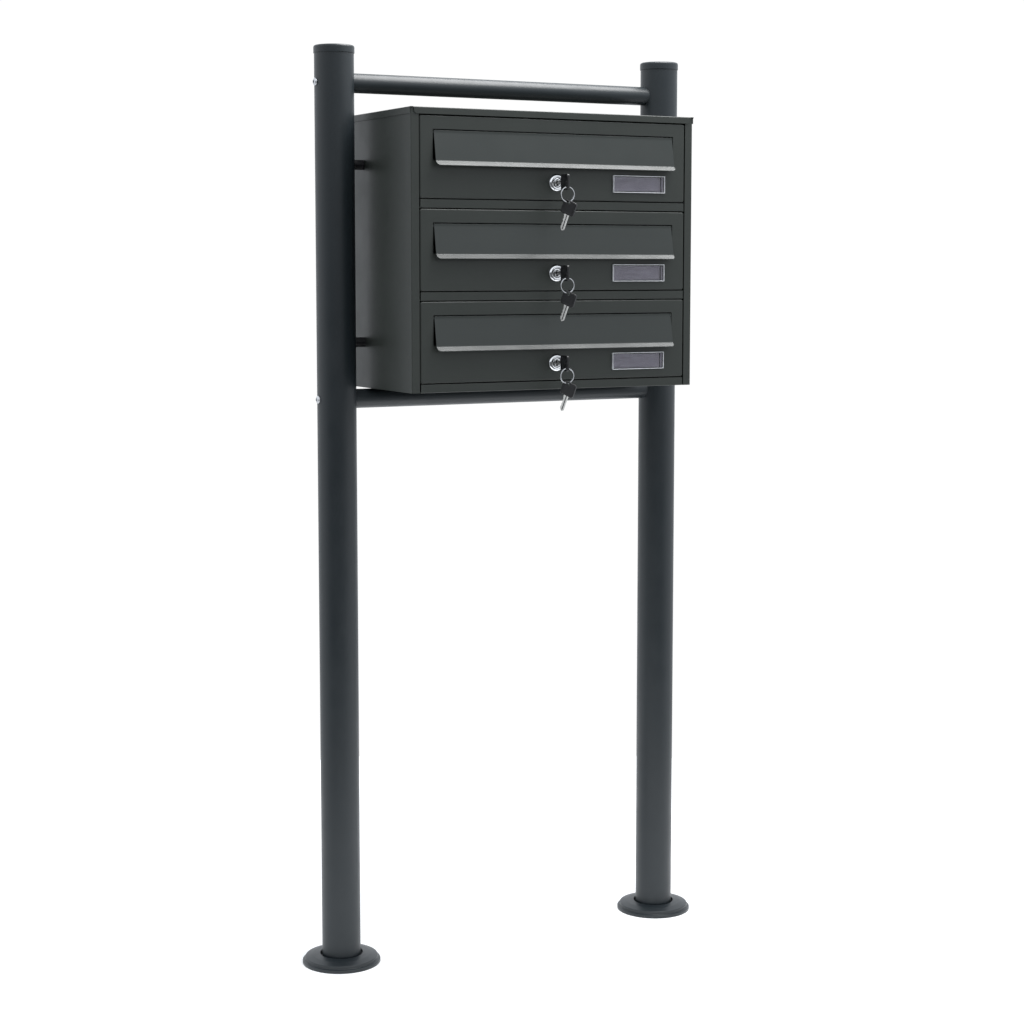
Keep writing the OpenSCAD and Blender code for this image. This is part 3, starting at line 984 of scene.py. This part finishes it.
def door_pressing(bay):
    """A door folded back on all four sides, with the mail slot cut in its face."""
    at = bay_origin(bay)
    node = f"door_{bay}"
    low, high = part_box(node)
    half = half_width(node)
    height = high.z - low.z
    flap_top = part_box(f"flap_{bay}")[1].z - low.z
    slot_x = half_width(f"flap_{bay}") + mm(1)
    slot_low, slot_high = mm(SLOT_BOTTOM), flap_top + mm(1)
    bm = bmesh.new()
    bmesh.ops.create_cube(bm, size=1)
    bmesh.ops.scale(bm, vec=(2 * half, mm(DOOR_DEPTH), height), verts=bm.verts)
    bmesh.ops.translate(bm, vec=(0, mm(DOOR_DEPTH / 2), height / 2), verts=bm.verts)
    rear = [f for f in bm.faces if f.normal.y > 0.5]
    bmesh.ops.delete(bm, geom=rear, context="FACES_ONLY")
    corners = [e for e in bm.edges if abs(e.verts[0].co.y - e.verts[1].co.y) > mm(DOOR_DEPTH / 2)]
    round_edges(bm, corners, mm(3), 5)
    face = max(bm.faces, key=lambda f: -f.normal.y)
    round_edges(bm, face.edges[:], settings().sheet.door_fold, 5)
    for x in (-slot_x, slot_x):
        cut(bm, (x, 0, 0), (1, 0, 0))
    for z in (slot_low, slot_high):
        cut(bm, (0, 0, z), (0, 0, 1))

    def in_slot(face):
        centre = face.calc_center_median()
        return face.normal.y < -0.9 and abs(centre.x) < slot_x and slot_low < centre.z < slot_high

    bmesh.ops.delete(bm, geom=[f for f in bm.faces if in_slot(f)], context="FACES")
    outwards(bm, Vector((0, mm(DOOR_DEPTH), height / 2)))
    place(bm, at=at)
    sheet = {"edge": mm(0.2), "thickness": mm(DOOR_SHEET)}
    add_piece(f"door_pressing_{bay}", bm, cabinet_paint(), node, "cabinet_paint", [node], **sheet)
    ears = []
    rod_y, rod_z = mm(ROD_SETBACK), flap_top - mm(ROD_DROP)
    reach = mm(4.5)
    for side in (-1, 1):
        x = side * (slot_x + mm(3))
        front = (x - mm(1), mm(0.9), rod_z - reach)
        ears.append(block(front, (x + mm(1), rod_y + reach, rod_z + reach), mm(0.5)))
    ears = merge(*ears)
    place(ears, at=at)
    add_piece(f"rod_ears_{bay}", ears, cabinet_paint(), node, "cabinet_paint")


def flap_pressing(bay):
    """A mail flap: flat top, leaning face and a lip bent out along its lower edge."""
    at = bay_origin(bay)
    node = f"flap_{bay}"
    low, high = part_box(node)
    half = half_width(node) - mm(0.3)
    top = high.z - at.z - mm(0.4)
    bend = mm(FLAP_BEND)
    lip_y, lip_z = low.y - at.y, low.z - at.z
    bm = bmesh.new()
    section = [(0, top), (0, top - mm(ROD_DROP)), (-mm(FLAP_LEAN), bend), (lip_y, lip_z + mm(0.7))]
    verts = chain(bm, [(-half, y, z) for y, z in section])
    round_corners(bm, verts[2:3], mm(0.9), 4)
    round_corners(bm, verts[1:2], mm(1.2), 3)
    pull(bm, bm.edges[:], Vector((2 * half, 0, 0)))
    tips = [v for v in bm.verts if abs(v.co.y - lip_y) < TOUCHING]
    round_corners(bm, tips, settings().sheet.lip_corner, 5)
    bmesh.ops.recalc_face_normals(bm, faces=bm.faces)
    if sum(f.normal.y * f.calc_area() for f in bm.faces) > 0:
        bmesh.ops.reverse_faces(bm, faces=bm.faces)
    place(bm, at=at)
    sheet = {"edge": mm(0.18), "thickness": mm(FLAP_SHEET)}
    add_piece(f"flap_pressing_{bay}", bm, flap_paint(), node, "flap_paint", [node], **sheet)
    rod = at + Vector((0, mm(ROD_SETBACK), high.z - at.z - mm(ROD_DROP)))
    # The curl gets the near-black painted shade instead of the flap's coat, so the thin gap above each flap
    # reads dark.
    tube = rectangle(mm(1.55), -half, mm(2.6), half)
    curl = turned(tube, axis=(1, 0, 0), at=rod, steps=32, closed=True)
    add_piece(f"flap_curl_{bay}", curl, painted_shade_black(), node, "flap_paint")
    pads = []
    for side in (-1, 1):
        x = side * (half - mm(23))
        front = (x - mm(4), lip_y + mm(6.2), bend - mm(2.5))
        pads.append(block(front, (x + mm(4), mm(-0.1), bend - mm(0.5)), mm(0.4)))
    pads = merge(*pads)
    place(pads, at=at)
    black_piece(f"stop_pads_{bay}", pads, node)
    hinge_pin(bay, rod)


def hinge_pin(bay, at):
    """The rod that a flap turns on, with chamfered ends."""
    reach = half_width(f"flap_rod_{bay}")
    profile = lathe((0, 0), (1.2, 0), (1.5, 0.3), rise=-reach)
    profile += lathe((1.5, -0.3), (1.2, 0), (0, 0), rise=reach)
    pin = turned(profile, axis=(1, 0, 0), at=at, steps=24)
    zinc_piece(f"hinge_rod_{bay}", pin, f"door_{bay}", f"flap_rod_{bay}")


# ---------- locks, keys and rings ----------


def lock_origin(bay):
    """Where a lock's axis meets the face of its door."""
    rise = middle(f"lock_body_{bay}").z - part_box(f"door_{bay}")[0].z
    return bay_origin(bay) + Vector((0, 0, rise))


def lock_barrel(bay):
    """Chromed lock barrel: front ring, recess and a threaded body."""
    at = lock_origin(bay)
    proud = at.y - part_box(f"lock_body_{bay}")[0].y
    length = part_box(f"lock_body_{bay}")[1].y - at.y
    thread = []
    turns = 12
    pitch = (length - mm(2.5)) / turns
    for i in range(turns):
        start = mm(1.5) + i * pitch
        thread += [(mm(8), start), (mm(8), start + pitch * 0.35)]
        thread += [(mm(7.55), start + pitch * 0.6), (mm(7.55), start + pitch * 0.75)]
    ring = lathe((5, 1.5), (6.2, 1.5), (6.5, 0.5), (7.5, 0.12), (8.1, 0), (8.9, 0.18), rise=-proud)
    ring += lathe((9.7, 0.55), (10.4, 1.1), (10.85, 1.75), (11, 2.3), rise=-proud)
    profile = [*ring, (mm(11), 0), (mm(8), 0), *thread, (mm(7.6), length), (mm(5), length)]
    bm = turned(profile, axis=(0, 1, 0), at=at, steps=72, closed=True)
    body = f"door_{bay}"
    add_piece(f"lock_barrel_{bay}", bm, chrome(), body, "chrome", [f"lock_body_{bay}"], smooth=32)
    # A near-black ring in the front recess of the barrel: painted shade that makes the recess read deep and
    # dark.
    well = lathe((5.72, 1.3), (7.7, 0.05), (7.5, 0.7), (6.2, 1.45), (5.72, 1.49), rise=-proud)
    bm = turned(well, axis=(0, 1, 0), at=at, steps=72, closed=True)
    add_piece(f"lock_well_painted_shade_{bay}", bm, painted_shade_black(), body, "black_plastic")


def lock_ring_nut(bay):
    """Hexagon nut that holds a lock behind its door."""
    node = f"lock_nut_{bay}"
    low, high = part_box(node)
    across = half_width(node)
    angles = [math.tau * i / 6 for i in range(6)]
    outline = [(across * math.cos(a), across * math.sin(a)) for a in angles]
    bm = slab(outline, high.y - low.y, mm(0.5))
    place(bm, at=Vector((middle(node).x, low.y, middle(node).z)))
    zinc_piece(f"lock_ring_nut_{bay}", bm, f"door_{bay}", node)


def lock_core(bay):
    """The turning plug: a face with a near-black plate of painted shade for its keyway, and the shaft that
    carries the cam.
    """
    at = lock_origin(bay)
    low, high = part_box(f"lock_plug_{bay}")
    front = low.y - at.y
    profile = lathe((0, 0), (4.9, 0), (5.5, 0.3), (5.7, 0.9), (4.9, 0.95), rise=front)
    profile += lathe((4.9, 21.3), (3, 21.3), (3, 23.3), (4.3, 23.3))
    profile += lathe((4.3, -0.3), (4, 0), (0, 0), rise=high.y - at.y)
    bm = turned(profile, axis=(0, 1, 0), at=at, steps=56)
    add_piece(f"lock_core_{bay}", bm, chrome(), f"lock_{bay}", "zinc_steel", [f"lock_plug_{bay}"])
    # The keyway is not cut: a thin near-black plate on the plug's face paints its shade.
    keyway = slab(rectangle(mm(-1.7), mm(-4.3), mm(1.7), mm(4.3)), mm(1.2), corner=mm(0.4))
    place(keyway, at=at + Vector((0, front - mm(0.03), 0)))
    add_piece(f"keyway_{bay}", keyway, painted_shade_black(), f"lock_{bay}", "black_plastic")


def lock_cam_plate(bay):
    """The latch cam behind the door."""
    at = lock_origin(bay)
    low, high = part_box(f"lock_cam_{bay}")
    reach = high.x - at.x
    half = (high.z - low.z) / 2
    start = low.x - at.x
    bm = slab(rectangle(start, -half, reach, half), high.y - low.y, mm(0.35), corner=mm(3))
    place(bm, at=Vector((at.x, low.y, at.z)))
    zinc_piece(f"latch_cam_{bay}", bm, f"lock_{bay}", f"lock_cam_{bay}")


def key_head_mesh():
    """Head of a key, flat across X, from its back to the shoulder of the blade."""
    half = mm(KEY_HALF_HEIGHT)
    bm = side_plate(rectangle(mm(KEY_BACK), -half, mm(KEY_SHOULDER), half), mm(KEY_THICKNESS), mm(3))
    caps = [f for f in bm.faces if abs(f.normal.x) > 0.9]
    round_edges(bm, [e for f in caps for e in f.edges], mm(0.8), 3)
    caps = [f for f in bm.faces if abs(f.normal.x) > 0.9 and f.calc_area() > mm(10) * mm(5)]
    bmesh.ops.inset_individual(bm, faces=caps, thickness=mm(1.7), depth=0)
    bmesh.ops.inset_individual(bm, faces=caps, thickness=mm(0.35), depth=mm(-0.35))
    return bm


def punch_hole(obj, cutter):
    """Cuts a hole through a piece with another mesh."""
    mesh = bpy.data.meshes.new("punch")
    cutter.to_mesh(mesh)
    cutter.free()
    tool = bpy.data.objects.new("punch", mesh)
    bpy.context.scene.collection.objects.link(tool)
    hole = obj.modifiers.new("hole", "BOOLEAN")
    hole.operation = "DIFFERENCE"
    hole.solver = "EXACT"
    hole.object = tool
    bpy.context.view_layer.update()
    depsgraph = bpy.context.evaluated_depsgraph_get()
    result = bpy.data.meshes.new_from_object(obj.evaluated_get(depsgraph))
    obj.modifiers.remove(hole)
    old = obj.data
    name = old.name
    obj.data = result
    bpy.data.meshes.remove(old)
    result.name = name
    bpy.data.objects.remove(tool)
    bpy.data.meshes.remove(mesh)


def key_blade_mesh():
    """Blade of a key along +Y with cuts along its lower edge; the grooves down its sides are not cut but
    painted as shade on separate strips.
    """
    start, tip = mm(KEY_SHOULDER - 2), mm(BLADE_TIP)
    top = mm(BLADE_HALF_HEIGHT)
    flat = mm(0.45)
    outline = [(start, -top), (mm(KEY_SHOULDER + 2), -top)]
    for y, depth in CUTS:
        outline += [(mm(y) - flat, -top + mm(depth)), (mm(y) + flat, -top + mm(depth))]
    outline += [(mm(4.2), -top + mm(1.0)), (tip, mm(0.2)), (tip, mm(1.4)), (tip - mm(1.6), top), (start, top)]
    bm = side_plate(outline, mm(BLADE_THICKNESS))
    round_edges(bm, sharp_edges(bm, 60), mm(0.12), 1)
    return bm


def groove_shade_mesh():
    """Painted shade of the grooves: a pair of near-black strips lying a hair proud of the blade's two sides.
    """
    strips = []
    for side in (-1, 1):
        x = side * mm(0.955)
        strips.append(block((x - mm(0.02), mm(-13.9), mm(0.4)), (x + mm(0.02), mm(5.2), mm(1.7))))
    return merge(*strips)


def hole_cutter():
    """Solid of the slot in a key's head."""
    half = mm(HOLE["half"])
    y = mm(HOLE["y"])
    return side_plate(rectangle(y - half, mm(HOLE["low"]), y + half, mm(HOLE["high"])), mm(12), half * 0.98)


def key_pair(name, turn, at, body, node):
    """A key's head, blade and the painted shade of its grooves, turned and placed."""
    head = key_head_mesh()
    cutter = hole_cutter()
    for bm in (head, cutter):
        place(bm, turn, at)
    piece = black_piece(f"{name}_head", head, body, node)
    punch_hole(piece, cutter)
    piece.data.set_sharp_from_angle(angle=math.radians(38))
    blade = key_blade_mesh()
    place(blade, turn, at)
    add_piece(f"{name}_blade", blade, key_steel(), body, "zinc_steel", smooth=25)
    # Near-black strips on the blade paint the shade of its grooves.
    groove = groove_shade_mesh()
    place(groove, turn, at)
    black_piece(f"{name}_groove", groove, body)


def working_key(bay):
    """The key that stands in its lock."""
    key_pair(f"lock_key_{bay}", Matrix.Identity(3), lock_origin(bay), f"lock_{bay}", f"key_{bay}")


def hanging_key(bay):
    """The spare key hangs tip down from the split ring, a little turned and tilted."""
    centre = middle(f"key_ring_{bay}")
    pivot = Vector((centre.x, centre.y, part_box(f"key_ring_{bay}")[0].z + mm(RING_WIRE / 2)))
    turn = Matrix.Rotation(math.radians(SPARE_TURN), 3, "Z")
    turn = turn @ Matrix.Rotation(math.radians(SPARE_TILT - 90), 3, "X")
    turn = turn @ Matrix.Rotation(math.pi, 3, "Y")
    grip = mm(0, HOLE["y"], GRIP_HEIGHT)
    key_pair(f"spare_key_{bay}", turn, pivot - turn @ grip, f"spare_key_{bay}", f"spare_key_{bay}")


def split_ring(bay):
    """Two close turns of flattened wire."""
    node = f"key_ring_{bay}"
    low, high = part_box(node)
    radius = half_width(node)
    wire = (high.y - low.y) / 2
    half = wire * 0.47
    bm = bmesh.new()
    section = rectangle(radius - mm(RING_WIRE), -half, radius, half)
    verts = chain(bm, [(x, 0, z) for x, z in section], closed=True)
    round_corners(bm, verts, wire * 0.3, 2)
    bmesh.ops.translate(bm, vec=(0, 0, -wire / 2), verts=bm.verts)
    steps = 96
    bmesh.ops.spin(
        bm,
        geom=bm.verts[:] + bm.edges[:],
        cent=(0, 0, 0),
        axis=(0, 0, 1),
        dvec=(0, 0, wire / steps),
        angle=2 * math.tau * 0.985,
        steps=steps,
        use_merge=False,
    )
    bmesh.ops.holes_fill(bm, edges=[e for e in bm.edges if e.is_boundary], sides=0)
    bmesh.ops.recalc_face_normals(bm, faces=bm.faces)
    turn = Matrix.Rotation(math.radians(-90), 3, "X") @ Matrix.Rotation(math.radians(200), 3, "Z")
    place(bm, turn, middle(node))
    add_piece(f"split_ring_{bay}", bm, chrome(), node, "chrome", [node])


# ---------- name plates ----------


def name_plate(bay):
    """A clear window inside a raised, light-catching rim, over a blank card."""
    low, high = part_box(f"name_window_{bay}")
    rim = mm(1.3)
    outer = slab(rectangle(low.x, low.z, high.x, high.z), high.y - low.y)
    for side in (-1, 1):
        broad = [f for f in outer.faces if f.normal.y * side > 0.9]
        bmesh.ops.inset_individual(outer, faces=broad, thickness=rim, depth=0)
        bmesh.ops.delete(outer, geom=broad, context="FACES")
    bmesh.ops.bridge_loops(outer, edges=[e for e in outer.edges if e.is_boundary])
    clean(outer)
    round_edges(outer, sharp_edges(outer, 60), mm(0.3), 2)
    place(outer, at=Vector((0, low.y, 0)))
    body = f"door_{bay}"
    add_piece(f"name_plate_rim_{bay}", outer, frosted_plastic(), body, "clear_window", [f"name_window_{bay}"])
    pane = block(
        (low.x + rim, low.y + mm(0.7), low.z + rim),
        (high.x - rim, low.y + mm(1.5), high.z - rim),
    )
    add_piece(f"name_plate_pane_{bay}", pane, window_plastic(), body, "clear_window")
    stop = block(
        (high.x - mm(6.2), low.y + mm(0.75), low.z + rim),
        (high.x - mm(5.4), high.y - mm(0.1), high.z - rim),
        mm(0.1),
    )
    black_piece(f"name_plate_card_stop_{bay}", stop, body)
    card_low, card_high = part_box(f"name_card_{bay}")
    card = block(card_low, card_high, mm(0.1))
    add_piece(f"blank_card_{bay}", card, card_stock(), body, "name_card", [f"name_card_{bay}"])


# ---------- operators ----------


class MAILBOX_OT_stage(bpy.types.Operator):
    """Pale floor, studio light and camera"""

    bl_idname = "mailbox.stage"
    bl_label = "Stage"

    def execute(self, context):
        s = settings().stage
        scene = context.scene
        scene.view_settings.view_transform = "Standard"
        world = bpy.data.worlds.new("studio")
        world.use_nodes = True
        surround_light(world.node_tree, s)
        scene.world = world
        floor = bmesh.new()
        bmesh.ops.create_circle(floor, cap_ends=True, segments=64, radius=1.05)
        mesh = bpy.data.meshes.new("floor")
        floor.to_mesh(mesh)
        floor.free()
        mesh.materials.append(floor_finish())
        ground = bpy.data.objects.new("floor", mesh)
        scene.collection.objects.link(ground)
        top = CAD_BOX[1][2]
        lamp_at = Vector((0.34, -0.22, top + 0.75))
        softbox("overhead", lamp_at, Vector((0.1, -0.05, top * 0.8)), 0.9, s.overhead)
        camera = bpy.data.cameras.new("view")
        camera.lens = s.lens
        camera.sensor_width = 36
        camera.shift_y = s.shift
        eye = bpy.data.objects.new("view", camera)
        eye.location = mm(*CAMERA_AT)
        eye.rotation_euler = (math.pi / 2 - s.pitch, 0, -s.yaw)
        scene.collection.objects.link(eye)
        scene.camera = eye
        return {"FINISHED"}


def eased(tree, value, start, end, low, high):
    """Maps a socket smoothly from one range to another."""
    node = tree.nodes.new("ShaderNodeMapRange")
    node.interpolation_type = "SMOOTHSTEP"
    node.inputs["From Min"].default_value = start
    node.inputs["From Max"].default_value = end
    node.inputs["To Min"].default_value = low
    node.inputs["To Max"].default_value = high
    tree.links.new(value, node.inputs["Value"])
    return node.outputs[0]


def surround_light(tree, s):
    """A plain white backdrop for the camera; everything else is lit by a surround that is dim in front."""
    nodes, links = tree.nodes, tree.links
    background = nodes["Background"]
    background.inputs["Color"].default_value = (0.95, 0.99, 1.04, 1)
    coords = nodes.new("ShaderNodeTexCoord")
    toward = nodes.new("ShaderNodeVectorMath")
    toward.operation = "DOT_PRODUCT"
    toward.inputs[1].default_value = (-math.sin(s.yaw), -math.cos(s.yaw), 0)
    links.new(coords.outputs["Generated"], toward.inputs[0])
    graded = eased(tree, toward.outputs["Value"], 0.1, 0.95, s.surround, s.surround_front)
    height = nodes.new("ShaderNodeSeparateXYZ")
    links.new(coords.outputs["Generated"], height.inputs[0])
    above = eased(tree, height.outputs["Z"], 0.02, 0.2, 0, 1)
    lifted = nodes.new("ShaderNodeMix")
    links.new(above, lifted.inputs[0])
    links.new(graded, lifted.inputs[2])
    lifted.inputs[3].default_value = s.surround_top
    links.new(lifted.outputs[0], background.inputs["Strength"])
    backdrop = nodes.new("ShaderNodeBackground")
    backdrop.inputs["Color"].default_value = (1, 1, 1, 1)
    backdrop.inputs["Strength"].default_value = 1.02
    seen = nodes.new("ShaderNodeLightPath")
    mixed = nodes.new("ShaderNodeMixShader")
    links.new(seen.outputs["Is Camera Ray"], mixed.inputs[0])
    links.new(background.outputs[0], mixed.inputs[1])
    links.new(backdrop.outputs[0], mixed.inputs[2])
    links.new(mixed.outputs[0], nodes["World Output"].inputs["Surface"])


def softbox(name, at, aim, size, power):
    """A square area lamp that points at a target."""
    lamp = bpy.data.lights.new(name, "AREA")
    lamp.shape = "SQUARE"
    lamp.size = size
    lamp.energy = power
    obj = bpy.data.objects.new(name, lamp)
    obj.location = at
    obj.rotation_euler = (aim - at).to_track_quat("-Z", "Y").to_euler()
    bpy.context.scene.collection.objects.link(obj)


def floor_finish():
    """Pale matt floor with a faint glow of its own."""
    n = Nodes("studio_floor")
    tone = n.blend(n.spread(n.noise(1.5, 3), 0, 1), (0.86, 0.86, 0.86), (0.90, 0.90, 0.90))
    n.feed("Base Color", tone)
    n.set(Roughness=0.9, Emission_Color=(1, 1, 1, 1), Emission_Strength=0.25)
    return n.material


class MAILBOX_OT_stand(bpy.types.Operator):
    """Posts, caps, rails, foot covers, bolts and spacers"""

    bl_idname = "mailbox.stand"
    bl_label = "Stand"

    def execute(self, context):
        for side_name in SIDES:
            post_tube(side_name)
            post_top(side_name)
            foot_cover(side_name)
            finish_node(f"base_plate_{side_name}", zinc())
        for node in ("upper_rail", "lower_rail"):
            cross_rail(node)
        rail_bolt_heads()
        spacer_sleeves()
        cabinet_bolt_heads()
        for node in ("rail_inserts", "post_nuts"):
            finish_node(node, zinc())
        return {"FINISHED"}


class MAILBOX_OT_cabinet(bpy.types.Operator):
    """Side, rear and floor sheets, shelves and lid"""

    bl_idname = "mailbox.cabinet"
    bl_label = "Cabinet"

    def execute(self, context):
        for side_name in SIDES:
            side_sheet(side_name)
        rear_sheet()
        rivet_heads()
        tray("floor_tray", "floor_panel")
        tray("upper_shelf_tray", "shelf_upper")
        tray("lower_shelf_tray", "shelf_lower")
        lid_pressing()
        finish_node("hinge_pivots", cabinet_paint())
        return {"FINISHED"}


class MAILBOX_OT_doors(bpy.types.Operator):
    """Doors with their mail flaps"""

    bl_idname = "mailbox.doors"
    bl_label = "Doors and Flaps"

    def execute(self, context):
        for bay in BAYS:
            door_pressing(bay)
            flap_pressing(bay)
        return {"FINISHED"}


class MAILBOX_OT_locks(bpy.types.Operator):
    """Locks, keys and split rings"""

    bl_idname = "mailbox.locks"
    bl_label = "Locks and Keys"

    def execute(self, context):
        for bay in BAYS:
            lock_barrel(bay)
            lock_ring_nut(bay)
            lock_core(bay)
            lock_cam_plate(bay)
            working_key(bay)
            split_ring(bay)
            hanging_key(bay)
        return {"FINISHED"}


class MAILBOX_OT_name_plates(bpy.types.Operator):
    """Name plates with blank cards"""

    bl_idname = "mailbox.name_plates"
    bl_label = "Name Plates"

    def execute(self, context):
        for bay in BAYS:
            name_plate(bay)
        return {"FINISHED"}


STEPS = (
    MAILBOX_OT_stage,
    MAILBOX_OT_stand,
    MAILBOX_OT_cabinet,
    MAILBOX_OT_doors,
    MAILBOX_OT_locks,
    MAILBOX_OT_name_plates,
)


class MAILBOX_PT_pieces(bpy.types.Panel):
    """Lists the steps that build the mailbox"""

    bl_label = "Cluster Mailbox"
    bl_idname = "MAILBOX_PT_pieces"
    bl_space_type = "VIEW_3D"
    bl_region_type = "UI"
    bl_category = "Mailbox"

    def draw(self, context):
        for step in STEPS:
            self.layout.operator(step.bl_idname)
        mailbox = context.scene.mailbox
        for group in (mailbox.finish, mailbox.sheet, mailbox.stage):
            box = self.layout.box()
            for name in group.bl_rna.properties.keys():
                if name not in ("rna_type", "name"):
                    box.prop(group, name)


CLASSES = (FinishSettings, SheetSettings, StageSettings, MailboxSettings, *STEPS, MAILBOX_PT_pieces)


def register():
    for cls in CLASSES:
        bpy.utils.register_class(cls)
    bpy.types.Scene.mailbox = PointerProperty(type=MailboxSettings)


def unregister():
    del bpy.types.Scene.mailbox
    for cls in reversed(CLASSES):
        bpy.utils.unregister_class(cls)


def corners(box):
    """A box's two corners as plain numbers."""
    return [[round(float(c), 6) for c in corner] for corner in box]


def main():
    register()
    bpy.ops.mailbox.stage()
    bpy.ops.mailbox.stand()
    bpy.ops.mailbox.cabinet()
    bpy.ops.mailbox.doors()
    bpy.ops.mailbox.locks()
    bpy.ops.mailbox.name_plates()


if __name__ == "__main__":
    main()
